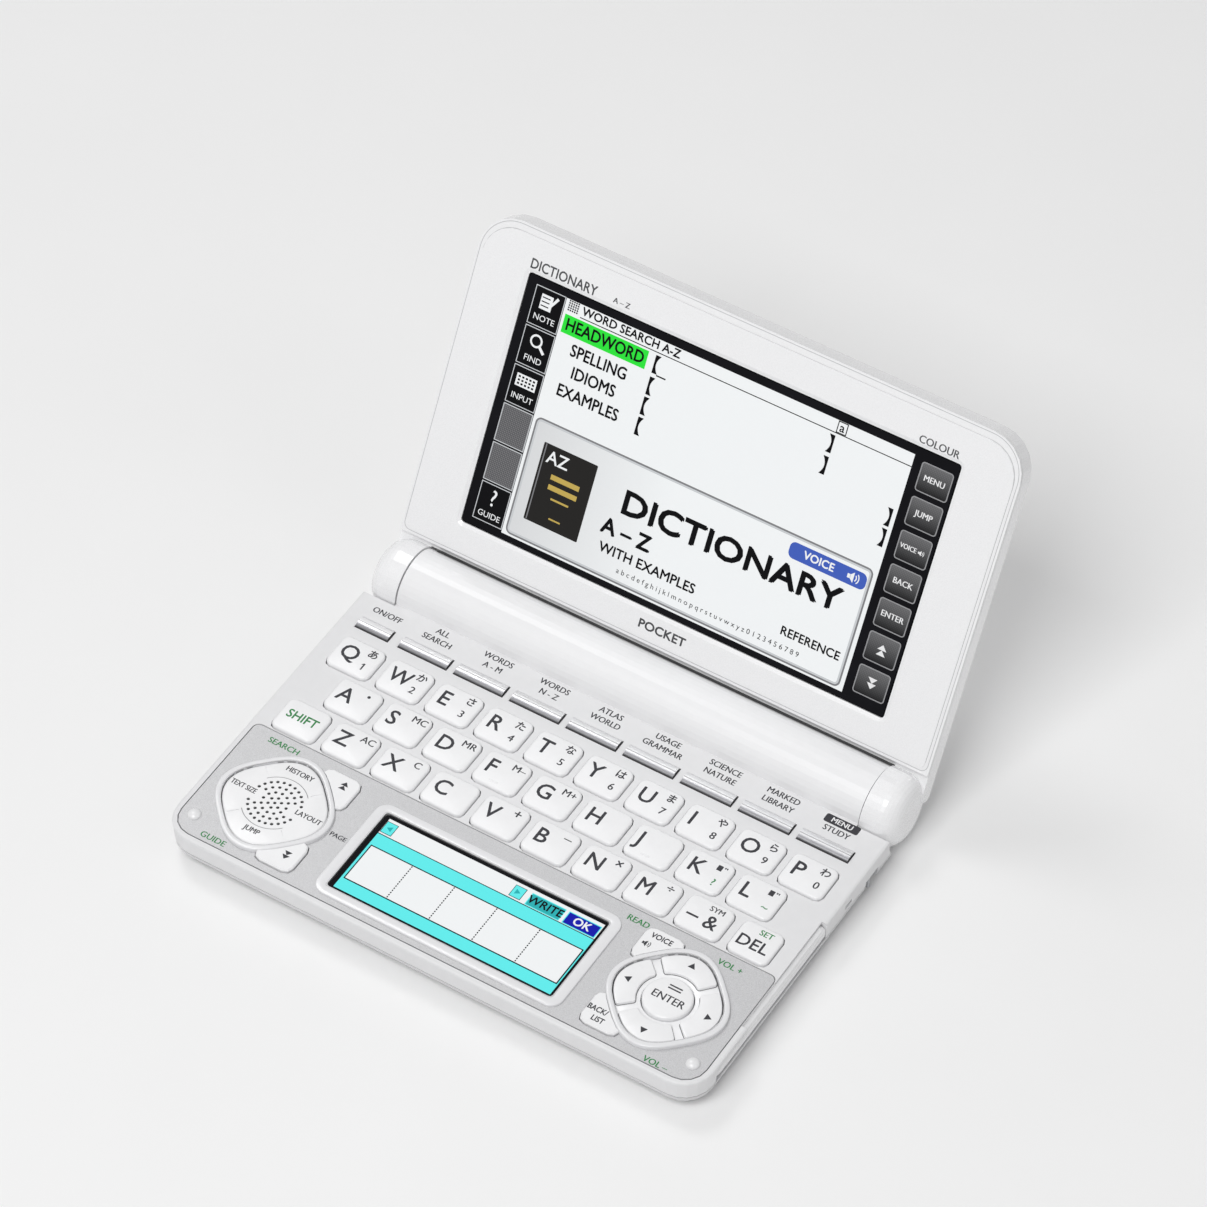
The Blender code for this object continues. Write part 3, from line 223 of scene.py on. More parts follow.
def makeBarChromePaintedReflection():
    # Polished bar with painted reflection and shade: dark along its front, light along its back, with a painted
    # dark streak across its light top
    made, tree, shader = newFinish("barChromePaintedReflection", barPaintedReflection["middle"], 0.3, 0.6)
    place = addNode(tree, "ShaderNodeTexCoord")
    split = addNode(tree, "ShaderNodeSeparateXYZ")
    tree.links.new(place.outputs["Object"], split.inputs["Vector"])
    span = addNode(tree, "ShaderNodeMapRange")
    span.inputs["From Min"].default_value = -barPaintedReflection["spread"] * mm
    span.inputs["From Max"].default_value = barPaintedReflection["spread"] * mm
    tree.links.new(split.outputs["Y"], span.inputs["Value"])
    ramp = addNode(tree, "ShaderNodeValToRGB")
    ramp.color_ramp.elements[0].color = (*barPaintedReflection["front"], 1)
    ramp.color_ramp.elements[1].color = (*barPaintedReflection["back"], 1)
    ramp.color_ramp.elements.new(0.22).color = (*barPaintedReflection["middle"], 1)
    ramp.color_ramp.elements.new(0.40).color = (*shade(barPaintedReflection["back"], 0.85), 1)
    ramp.color_ramp.elements.new(0.46).color = (*shade(barPaintedReflection["middle"], 0.6), 1)
    ramp.color_ramp.elements.new(0.52).color = (*barPaintedReflection["back"], 1)
    tree.links.new(span.outputs["Result"], ramp.inputs["Fac"])
    tree.links.new(ramp.outputs["Color"], shader.inputs["Base Color"])
    varyRoughness(tree, shader, grain(tree, 2.0, 2), 0.28, 0.34)
    finishes["barChromePaintedReflection"] = made


barrelPearlAndPaintedLight = {"colour": (0.88, 0.88, 0.89), "reach": 9.05, "roughness": 0.22}


def makeUpperCase():
    # Case white on the deck, and the smoother finish of the hinge barrel behind it, whiter in part as pearl like
    # the lid and in part as painted light for its brighter lit look
    colour = plasticLooks["caseWhite"][0]
    made, tree, shader = newFinish("upperCaseWhite", colour, 0.4)
    place = addNode(tree, "ShaderNodeTexCoord")
    split = addNode(tree, "ShaderNodeSeparateXYZ")
    behind = addNode(tree, "ShaderNodeMath", operation="GREATER_THAN")
    behind.inputs[1].default_value = hingeY - barrelPearlAndPaintedLight["reach"] * mm
    tree.links.new(place.outputs["Object"], split.inputs["Vector"])
    tree.links.new(split.outputs["Y"], behind.inputs[0])
    tint = addNode(tree, "ShaderNodeMix", data_type="RGBA")
    speckle = grain(tree, 2.7, 4)
    tree.links.new(behind.outputs["Value"], tint.inputs["Factor"])
    tree.links.new(between(tree, speckle, shade(colour, 0.988), shade(colour, 1.012)), tint.inputs["A"])
    white = barrelPearlAndPaintedLight["colour"]
    tree.links.new(between(tree, speckle, shade(white, 0.992), shade(white, 1.008)), tint.inputs["B"])
    tree.links.new(tint.outputs["Result"], shader.inputs["Base Color"])
    polish = addNode(tree, "ShaderNodeMapRange")
    polish.inputs["To Min"].default_value = 0.40
    polish.inputs["To Max"].default_value = barrelPearlAndPaintedLight["roughness"]
    tree.links.new(behind.outputs["Value"], polish.inputs["Value"])
    tree.links.new(polish.outputs["Result"], shader.inputs["Roughness"])
    addRelief(tree, shader, grain(tree, 0.3, 2), 0.006)
    finishes["upperCaseWhite"] = made


def makeLowerCase():
    # Case white, darkened to paint the shade on the front wall, above; and grey rubber on the feet that stand below
    # the case bottom
    colour = shade(plasticLooks["caseWhite"][0], 0.88)
    made, tree, shader = newFinish("lowerCaseWhiteWithPaintedShade", colour, 0.4)
    place = addNode(tree, "ShaderNodeTexCoord")
    split = addNode(tree, "ShaderNodeSeparateXYZ")
    below = addNode(tree, "ShaderNodeMath", operation="LESS_THAN")
    below.inputs[1].default_value = 1.49 * mm
    tree.links.new(place.outputs["Object"], split.inputs["Vector"])
    tree.links.new(split.outputs["Z"], below.inputs[0])
    tint = addNode(tree, "ShaderNodeMix", data_type="RGBA")
    white = between(tree, grain(tree, 2.7, 4), shade(colour, 0.988), shade(colour, 1.012))
    tree.links.new(below.outputs["Value"], tint.inputs["Factor"])
    tree.links.new(white, tint.inputs["A"])
    tree.links.new(between(tree, grain(tree, 0.5), (0.08, 0.08, 0.085), (0.11, 0.11, 0.115)), tint.inputs["B"])
    tree.links.new(tint.outputs["Result"], shader.inputs["Base Color"])
    varyRoughness(tree, shader, grain(tree, 1.2), 0.36, 0.48)
    addRelief(tree, shader, grain(tree, 0.3, 2), 0.012)
    finishes["lowerCaseWhiteWithPaintedShade"] = made


def makeGlassBlack():
    made, tree, shader = newFinish("glassBlack", (0.006, 0.006, 0.008), 0.06)
    shader.inputs["Specular IOR Level"].default_value = 0.06
    smears = grain(tree, 14, 4)
    varyColour(tree, shader, smears, (0.006, 0.006, 0.008), 0.3)
    varyRoughness(tree, shader, smears, 0.05, 0.10)
    finishes["glassBlack"] = made


def makeBoard():
    made, tree, shader = newFinish("boardGreen", (0.02, 0.16, 0.07), 0.4)
    tracks = addNode(tree, "ShaderNodeTexBrick", Scale=1 / (5 * mm), Mortar_Size=0.03)
    tree.links.new(objectPoint(tree), tracks.inputs["Vector"])
    tracks.inputs["Color1"].default_value = (0.015, 0.13, 0.055, 1)
    tracks.inputs["Color2"].default_value = (0.025, 0.18, 0.075, 1)
    tracks.inputs["Mortar"].default_value = (0.10, 0.32, 0.12, 1)
    tree.links.new(tracks.outputs["Color"], shader.inputs["Base Color"])
    addRelief(tree, shader, tracks.outputs["Fac"], 0.03)
    finishes["boardGreen"] = made


def makeCell():
    made, tree, shader = newFinish("cellJacket", (0.06, 0.16, 0.42), 0.3)
    bands = addNode(tree, "ShaderNodeTexWave", Scale=1 / (160 * mm), Distortion=0.0)
    bands.bands_direction = "X"
    tree.links.new(objectPoint(tree), bands.inputs["Vector"])
    tree.links.new(between(tree, bands.outputs["Fac"], (0.05, 0.14, 0.40), (0.60, 0.60, 0.62), 0.82, 0.84),
                   shader.inputs["Base Color"])
    varyRoughness(tree, shader, grain(tree, 3), 0.22, 0.34)
    finishes["cellJacket"] = made


# Display colours glow a little, as a lit screen does
glowLooks = {
    "lcdWhite": (0.90, 0.92, 0.93), "lcdBlack": (0.004, 0.004, 0.005), "lcdGreen": (0.03, 0.78, 0.05),
    "lcdCyan": (0.13, 0.86, 0.86), "lcdTeal": (0.03, 0.45, 0.47), "lcdBlue": (0.008, 0.012, 0.42),
    "lcdGrey": (0.22, 0.22, 0.23), "lcdHatch": (0.10, 0.10, 0.105), "lcdBook": (0.020, 0.019, 0.018), "lcdGold": (0.55, 0.40, 0.10),
    "lcdBadge": (0.06, 0.12, 0.50), "lcdPale": (0.60, 0.62, 0.64),
}
glowShare = 0.62
glowSheen = 0.06


def makeGlows():
    for name, colour in glowLooks.items():
        made, tree, shader = newFinish(name, shade(colour, 1 - glowShare), 0.22)
        shader.inputs["Specular IOR Level"].default_value = glowSheen
        pixels = addNode(tree, "ShaderNodeTexChecker", Scale=1 / (0.18 * mm))
        tree.links.new(objectPoint(tree), pixels.inputs["Vector"])
        for key, step in (("Color1", 0.985), ("Color2", 1.0)):
            pixels.inputs[key].default_value = (*shade(colour, step), 1)
        tree.links.new(pixels.outputs["Color"], shader.inputs["Emission Color"])
        shader.inputs["Emission Strength"].default_value = glowShare
        varyRoughness(tree, shader, grain(tree, 12, 2), 0.18, 0.26)
        finishes[name] = made


cardLook = {"left": -47.0, "right": -8.0, "dark": (0.70, 0.71, 0.72), "light": (0.90, 0.92, 0.93)}


def makeCardFinish():
    # The card's left side fades from grey to white
    made, tree, shader = newFinish("lcdCard", shade(cardLook["light"], 1 - glowShare), 0.22)
    shader.inputs["Specular IOR Level"].default_value = glowSheen
    place = addNode(tree, "ShaderNodeTexCoord")
    split = addNode(tree, "ShaderNodeSeparateXYZ")
    tree.links.new(place.outputs["Object"], split.inputs["Vector"])
    span = addNode(tree, "ShaderNodeMapRange")
    span.inputs["From Min"].default_value = cardLook["left"] * mm
    span.inputs["From Max"].default_value = cardLook["right"] * mm
    tree.links.new(split.outputs["X"], span.inputs["Value"])
    for socket, share in (("Emission Color", 1.0), ("Base Color", 1 - glowShare)):
        fade = between(tree, span.outputs["Result"], shade(cardLook["dark"], share),
                       shade(cardLook["light"], share), 0.0, 1.0)
        tree.links.new(fade, shader.inputs[socket])
    shader.inputs["Emission Strength"].default_value = glowShare
    finishes["lcdCard"] = made


softKeyLook = {"bottom": (0.006, 0.006, 0.007), "top": (0.15, 0.15, 0.155), "dots": 0.42}


def makeSoftKeyFinish():
    # Printed gradient that repeats with the keys' pitch, with a fine dot screen
    made, tree, shader = newFinish("softKeyGrey", softKeyLook["top"], 0.16)
    shader.inputs["Specular IOR Level"].default_value = 0.1
    place = addNode(tree, "ShaderNodeTexCoord")
    split = addNode(tree, "ShaderNodeSeparateXYZ")
    tree.links.new(place.outputs["Object"], split.inputs["Vector"])
    height = addNode(tree, "ShaderNodeMath", operation="MULTIPLY_ADD")
    height.inputs[1].default_value = 1 / (softKeys["pitch"] * mm)
    height.inputs[2].default_value = -(softKeys["top"] - softKeys["pitch"]) / softKeys["pitch"]
    tree.links.new(split.outputs["Y"], height.inputs[0])
    part = addNode(tree, "ShaderNodeMath", operation="FRACT")
    tree.links.new(height.outputs["Value"], part.inputs[0])
    sweep = between(tree, part.outputs["Value"], softKeyLook["bottom"], softKeyLook["top"], 0.15, 0.95)
    dots = addNode(tree, "ShaderNodeTexVoronoi", Scale=1 / (softKeyLook["dots"] * mm), Randomness=0.0)
    tree.links.new(objectPoint(tree), dots.inputs["Vector"])
    fade = between(tree, dots.outputs["Distance"], (1.25, 1.25, 1.25), (0.85, 0.85, 0.85), 0.25, 0.45)
    blend = addNode(tree, "ShaderNodeMix", data_type="RGBA", blend_type="MULTIPLY")
    blend.inputs["Factor"].default_value = 1.0
    tree.links.new(sweep, blend.inputs["A"])
    tree.links.new(fade, blend.inputs["B"])
    tree.links.new(blend.outputs["Result"], shader.inputs["Base Color"])
    finishes["softKeyGrey"] = made


# Outlines in millimetres, all counter-clockwise

def arcPoints(cx, cy, radius, start, stop, steps):
    points = []
    for i in range(steps + 1):
        angle = start + (stop - start) * i / steps
        points.append((cx + radius * math.cos(angle), cy + radius * math.sin(angle)))
    return points


def ringPoints(cx, cy, radius, steps):
    return arcPoints(cx, cy, radius, 0, 4 * quarter, steps)[:-1]


def boxPoints(left, right, low, high, radius=0.0, steps=5):
    if radius <= 0:
        return [(left, low), (right, low), (right, high), (left, high)]
    points = arcPoints(left + radius, low + radius, radius, 2 * quarter, 3 * quarter, steps)
    points += arcPoints(right - radius, low + radius, radius, 3 * quarter, 4 * quarter, steps)
    points += arcPoints(right - radius, high - radius, radius, 0, quarter, steps)
    points += arcPoints(left + radius, high - radius, radius, quarter, 2 * quarter, steps)
    return points


def padPoints(radius, steps=96, flat=0.1):
    # Rounded diamond: a circle whose four sides are drawn in a little
    points = []
    for i in range(steps):
        angle = 4 * quarter * i / steps
        reach = radius * (1 - flat * math.sin(2 * angle) ** 2)
        points.append((reach * math.cos(angle), reach * math.sin(angle)))
    return points


def inset(points, distance):
    # Moves every point inwards along the mean of its two edges' normals
    made = []
    for i, (x, y) in enumerate(points):
        px, py = points[i - 1]
        nx, ny = points[(i + 1) % len(points)]
        before = Vector((py - y, x - px)).normalized()
        after = Vector((y - ny, nx - x)).normalized()
        mean = before + after
        mean /= max(0.35, mean.dot(before))
        made.append((x + mean.x * distance, y + mean.y * distance))
    return made


def filleted(points, radius, steps=4):
    # Rounds the sharp corners of an outline and leaves its curved runs alone
    made = []
    count = len(points)
    for i, (x, y) in enumerate(points):
        here = Vector((x, y))
        back = Vector(points[i - 1]) - here
        ahead = Vector(points[(i + 1) % count]) - here
        turn = math.pi - back.angle(ahead)
        if turn < 0.6:
            made.append((x, y))
            continue
        reach = radius * math.tan(turn / 2)
        start = here + back.normalized() * reach
        stop = here + ahead.normalized() * reach
        for k in range(steps + 1):
            t = k / steps
            spot = start * (1 - t) ** 2 + here * 2 * t * (1 - t) + stop * t ** 2
            made.append((spot.x, spot.y))
    return made


# Mesh helpers: rings of points in millimetres become closed solids

def loft(bm, rings, finish=0):
    rows = [[bm.verts.new((x * mm, y * mm, z * mm)) for x, y, z in ring] for ring in rings]
    faces = [bm.faces.new(rows[0][::-1]), bm.faces.new(rows[-1])]
    for low, high in zip(rows, rows[1:]):
        for i in range(len(low)):
            j = (i + 1) % len(low)
            faces.append(bm.faces.new((low[i], low[j], high[j], high[i])))
    for face in faces:
        face.material_index = finish
    return faces


def atHeight(points, z):
    return [(x, y, z) for x, y in points]


def slab(bm, points, low, high, finish=0):
    return loft(bm, [atHeight(points, low), atHeight(points, high)], finish)


def softBlock(bm, points, low, high, edge, steps=4, finish=0):
    # Upright sides and a rounded upper edge
    rings = [atHeight(points, low)]
    for i in range(steps + 1):
        angle = quarter * i / steps
        rings.append(atHeight(inset(points, edge * (1 - math.cos(angle))), high - edge * (1 - math.sin(angle))))
    return loft(bm, rings, finish)


def hoop(bm, outer, inner, low, high, edge, steps=4, slope=0.0, finish=0):
    # Raised ring with rounded edges. The slope sets its inner edge back.
    profile = [(outer, 0.0, low)]
    for i in range(steps + 1):
        angle = quarter * i / steps
        profile.append((outer, edge * (1 - math.cos(angle)), high - edge * (1 - math.sin(angle))))
    for i in range(steps, -1, -1):
        angle = quarter * i / steps
        back = -(edge + slope) * (1 - math.cos(angle)) + 0.0
        profile.append((inner, back, high - edge * (1 - math.sin(angle)) - slope * (1 - math.sin(angle))))
    profile.append((inner, 0.0, low))
    rows = [[bm.verts.new((x * mm, y * mm, z * mm)) for x, y in inset(points, move)]
            for points, move, z in profile]
    for k, row in enumerate(rows):
        nextRow = rows[(k + 1) % len(rows)]
        for i in range(len(row)):
            j = (i + 1) % len(row)
            bm.faces.new((row[i], row[j], nextRow[j], nextRow[i])).material_index = finish


def asObject(name, bm, finishNames, place=None, sharp=32):
    bmesh.ops.recalc_face_normals(bm, faces=bm.faces)
    mesh = bpy.data.meshes.new(name)
    bm.to_mesh(mesh)
    bm.free()
    for finishName in finishNames:
        mesh.materials.append(finishes[finishName])
    mesh.shade_smooth()
    mesh.set_sharp_from_angle(angle=math.radians(sharp))
    made = bpy.data.objects.new(name, mesh)
    bpy.context.scene.collection.objects.link(made)
    if place is not None:
        made.matrix_world = place
    return made


def mount(piece, body, slotName, *nodes):
    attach(piece, body)
    if nodes:
        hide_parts(*nodes)
    return piece


def carve(piece, bm, name):
    # Cuts closed forms out of a piece and applies the result
    tool = asObject(name, bm, [])
    tool.matrix_world = piece.matrix_world
    step = piece.modifiers.new(name, "BOOLEAN")
    step.operation = "DIFFERENCE"
    step.solver = "EXACT"
    step.object = tool
    bpy.context.view_layer.update()
    cut = bpy.data.meshes.new_from_object(piece.evaluated_get(bpy.context.evaluated_depsgraph_get()))
    piece.modifiers.clear()
    piece.data = cut
    cut.set_sharp_from_angle(angle=math.radians(32))
    bpy.data.objects.remove(tool)


# Printing: plain letters, digits and signs as very thin raised ink

inkThickness = 0.02
smallBold = 0.045
prints = []


def printText(sheet, text, x, y, size, ink="inkDark", z=0.0, wide=1.0, align="CENTER", bold=0.0):
    # The size is the height of a capital letter
    prints.append({"sheet": sheet, "text": text, "x": x, "y": y, "z": z, "size": size, "ink": ink,
                   "wide": wide, "align": align, "bold": bold})


sheets = {}


def newSheet(name, body, slotName, place):
    sheets[name] = {"body": body, "slot": slotName, "place": place, "shapes": []}
    return name


def printShape(sheet, points, ink="inkDark", z=0.0, thick=inkThickness):
    sheets[sheet]["shapes"].append((points, ink, z, thick))


def copyCount(bold):
    if bold <= 0:
        return 1
    return 2 if bold <= smallBold else 3


def flushPrints():
    capitalShare = 0.70        # height of a capital in the font's own size
    texts = []
    for item in prints:
        curve = bpy.data.curves.new("print", "FONT")
        curve.body = item["text"]
        curve.size = item["size"] * mm / capitalShare
        curve.align_x = item["align"]
        curve.align_y = "CENTER"
        curve.extrude = inkThickness * mm / 2
        curve.resolution_u = 3
        carrier = bpy.data.objects.new("print", curve)
        bpy.context.scene.collection.objects.link(carrier)
        texts.append(carrier)
    bpy.context.view_layer.update()
    graph = bpy.context.evaluated_depsgraph_get()
    meshes = [bpy.data.meshes.new_from_object(carrier.evaluated_get(graph)) for carrier in texts]
    for sheetName, sheet in sheets.items():
        inks = []
        bm = bmesh.new()
        for points, ink, z, thick in sheet["shapes"]:
            if ink not in inks:
                inks.append(ink)
            slab(bm, points, z - 0.004, z + thick, inks.index(ink))
        for item, mesh in zip(prints, meshes):
            if item["sheet"] != sheetName:
                continue
            if item["ink"] not in inks:
                inks.append(item["ink"])
            for k in range(copyCount(item["bold"])):        # bold print is a few copies side by side
                spread = item["bold"] if item["bold"] else 0.0
                angle = 4 * quarter * k / copyCount(item["bold"])
                before = len(bm.verts)
                faceStart = len(bm.faces)
                bm.from_mesh(mesh)
                bm.verts.ensure_lookup_table()
                bm.faces.ensure_lookup_table()
                for vert in bm.verts[before:]:
                    vert.co.x = vert.co.x * item["wide"] + (item["x"] + spread * math.cos(angle)) * mm
                    vert.co.y += (item["y"] + spread * math.sin(angle)) * mm
                    vert.co.z += (item["z"] + inkThickness / 2 - 0.002 + 0.001 * k) * mm
                for face in bm.faces[faceStart:]:
                    face.material_index = inks.index(item["ink"])
        bmesh.ops.remove_doubles(bm, verts=bm.verts, dist=0.0002 * mm)
        piece = asObject(sheetName, bm, inks, sheet["place"])
        mount(piece, sheet["body"], sheet["slot"])
    for carrier in texts:
        bpy.data.objects.remove(carrier)
    print("prints made:", len(prints))


def triangle(cx, cy, size, way):
    # Arrow head that points right, up, left or down for way 0 to 3
    angle = quarter * way
    points = []
    for px, py in ((-0.42, -0.5), (0.42, 0.0), (-0.42, 0.5)):
        points.append((cx + size * (px * math.cos(angle) - py * math.sin(angle)),
                       cy + size * (px * math.sin(angle) + py * math.cos(angle))))
    return points


def bar(cx, cy, width, height):
    return boxPoints(cx - width / 2, cx + width / 2, cy - height / 2, cy + height / 2)


# Letter keys

letterKeys = {
    "rows": (("q", "w", "e", "r", "t", "y", "u", "i", "o", "p"), ("a", "s", "d", "f", "g", "h", "j", "k", "l"),
             ("shift", "z", "x", "c", "v", "b", "n", "m", "symbol", "delete")),
    "pitch": 14.04, "rowPitch": 11.6, "firstRow": 28.9, "width": 12.0, "depth": 10.0, "corner": 1.9,
    "rise": 0.9, "skirt": 2.1, "edge": 0.55, "letterHeight": 4.3, "smallHeight": 1.95,
    "ridge": (2.4, 0.5, 0.16),
}
kana = dict(zip("qwertyuiop", "あかさたなはまやらわ"))
digits = dict(zip("qwertyuiop", "1234567890"))
signs = {"s": "MC", "d": "MR", "f": "M–", "g": "M+", "z": "AC", "x": "C", "v": "+", "b": "–", "n": "×",
         "m": "÷"}
greenSigns = {"k": "?", "l": "~"}


def keyPlaces():
    look = letterKeys
    for row, letters in enumerate(look["rows"]):
        y = -look["firstRow"] - row * look["rowPitch"]
        for i, letter in enumerate(letters):
            x = (i - (len(letters) - 1) / 2) * look["pitch"]
            width = look["width"]
            if letter == "delete":        # trimmed beside the right edge
                x -= 0.2
                width -= 1.2
            yield letter, x, y, width


def printLetter(letter, sheet, top):
    look = letterKeys
    small = look["smallHeight"]
    if len(letter) == 1:
        printText(sheet, letter.upper(), -4.5, 0.35, look["letterHeight"], z=top, align="LEFT", bold=0.09,
                  wide=0.92 if letter in "wm" else 1.0)
    if letter in kana:
        printText(sheet, kana[letter], 3.2, 2.6, 1.95, z=top, bold=0.07)
        printDigit(sheet, digits[letter], 3.1, -1.7, 2.1, top)
    if letter == "a":
        printShape(sheet, ringPoints(2.7, 2.7, 0.42, 14), z=top)
    elif letter in signs:
        size = small if len(signs[letter]) > 1 or letter == "x" else 2.7
        printText(sheet, signs[letter], 3.2, 2.7, size, z=top, bold=smallBold)
    if letter in greenSigns:        # a voiced mark in a dark square, and a green sign below it
        printShape(sheet, bar(2.6, 2.6, 1.3, 1.6), z=top)
        printShape(sheet, bar(3.8, 3.2, 0.3, 0.5), z=top)
        printShape(sheet, bar(4.3, 3.2, 0.3, 0.5), z=top)
        printText(sheet, greenSigns[letter], 3.3, -1.9, 2.1, "inkGreen", top, bold=smallBold)
    if letter == "shift":
        printText(sheet, "SHIFT", 0.0, 0.3, 2.5, "inkGreen", top, wide=0.95, bold=0.07)
    if letter == "symbol":
        printShape(sheet, bar(-2.7, -0.9, 3.2, 0.55), z=top)
        printText(sheet, "&", 2.2, -0.9, 3.9, z=top, bold=0.07)
        printText(sheet, "SYM", 1.8, 3.0, 1.5, z=top, bold=smallBold)
    if letter == "delete":
        printText(sheet, "DEL", -0.3, -1.0, 3.2, z=top, wide=1.05, bold=0.07)
        printText(sheet, "SET", 1.2, 3.0, 1.6, "inkGreen", top, bold=smallBold)


def printDigit(sheet, digit, x, y, size, top):
    if digit == "1":        # drawn with a flag and a foot
        left, right = x - 0.12 * size, x + 0.06 * size
        printShape(sheet, [(left, y - size / 2), (right, y - size / 2), (right, y + size / 2),
                           (left, y + size / 2), (left - 0.22 * size, y + 0.28 * size),
                           (left - 0.17 * size, y + 0.2 * size), (left, y + 0.3 * size)], z=top)
    else:
        printText(sheet, digit, x, y, size, z=top, bold=smallBold)


def buildLetterKeys():
    look = letterKeys
    for letter, x, y, width in keyPlaces():
        bm = bmesh.new()
        outline = boxPoints(-width / 2, width / 2, -look["depth"] / 2, look["depth"] / 2, look["corner"], 6)
        softBlock(bm, outline, -look["skirt"], look["rise"], look["edge"], 5)
        if letter in ("f", "j"):
            long, wide, high = look["ridge"]
            ridge = boxPoints(-long / 2 - 0.3, long / 2 - 0.3, -3.3 - wide / 2, -3.3 + wide / 2, wide / 2.1)
            softBlock(bm, ridge, look["rise"] - 0.1, look["rise"] + high, high * 0.9, 3)
        place = deckFrame @ Matrix.Translation((x * mm, y * mm, 0))
        body = f"key_{letter}"
        mount(asObject(f"keyCap_{letter}", bm, ["keyWhite"], place), body, "keys", body)
        printLetter(letter, newSheet(f"keyPrint_{letter}", body, "keys", place), look["rise"])
    print("letter keys built")


# Chrome bars: the function keys and the power key

barKeys = {"row": -18.5, "pitch": 15.96, "first": -50.0, "length": 13.7, "power": (-64.63, 9.2),
           "halfWidth": 1.66, "back": 0.07, "rise": 0.8, "shoulder": 0.15, "skirt": 2.1, "endRound": 0.22,
           "slot": 1.93, "slotEnd": 0.22, "slotDepth": 0.16}


def buildBarKeys():
    look = barKeys
    places = [("power_key", *look["power"])]
    for i in range(8):
        places.append((f"function_key_{i + 1}", look["first"] + i * look["pitch"], look["length"]))
    slotShade = bmesh.new()
    for body, x, length in places:
        bm = bmesh.new()
        rings = []
        for share, back in ((1.0, 0.0), (0.5, 0.35), (0.0, 1.0)):
            rings.append((-length / 2 + look["endRound"] * (1 - back), look["endRound"] * share * 0.8))
        profileRings = []
        for along, cutIn in rings + [(-a, c) for a, c in rings[::-1]]:
            half = look["halfWidth"]
            crown = look["rise"] - look["shoulder"]
            ring = [(along, -half + cutIn, -look["skirt"]), (along, half - cutIn, -look["skirt"])]
            for k in range(17):
                angle = 2 * quarter * k / 16
                ring.append((along, (half - cutIn) * math.cos(angle),
                             look["shoulder"] + (crown - cutIn) * math.sin(angle)))
            profileRings.append(ring)
        loft(bm, profileRings)
        place = deckFrame @ Matrix.Translation((x * mm, (look["row"] + look["back"]) * mm, 0))
        mount(asObject(f"barKey_{body}", bm, ["barChromePaintedReflection"], place, 40), body, "function_keys", body)
        reach = length / 2 + look["slotEnd"]
        # A black slab below each slot paints the shade in the gap round the bar
        slab(slotShade, boxPoints(x - reach, x + reach, look["row"] - look["slot"], look["row"] + look["slot"], 0.2, 3),
             -1.6, -look["slotDepth"])
    mount(asObject("barSlotPaintedShade", slotShade, ["paintedShadeBlack"], deckFrame), "base", "function_keys")
    print("function keys built")


# Round pads

pads = {"x": 54.3, "radius": 13.4, "rise": 0.7, "skirt": 2.1, "edge": 0.5, "rimWidth": 1.55, "rimRise": 1.04,
        "rimEdge": 0.42, "gap": 0.22, "holePitch": 1.6, "holeRadius": 0.42, "holeCounts": (6, 12, 18, 26),
        "holeDepth": 0.22, "enterRadius": 6.0, "enterRise": 0.95, "segmentInner": 7.4, "channel": 0.9,
        "segmentCorner": 0.7, "floor": -0.1, "gapShadeWidth": 0.16}


def padPlace(side):
    return Matrix.Translation((side * pads["x"] * mm, padsY, deckTop))


def buildRims():
    look = pads
    for side, name in ((-1, "dialRim"), (1, "arrowRim")):
        bm = bmesh.new()
        inner = padPoints(look["radius"] + look["gap"])
        outer = padPoints(look["radius"] + look["gap"] + look["rimWidth"])
        hoop(bm, outer, inner, -0.3, look["rimRise"], look["rimEdge"], 5)
        mount(asObject(name, bm, ["rimWhite"], padPlace(side)), "base", "panel")


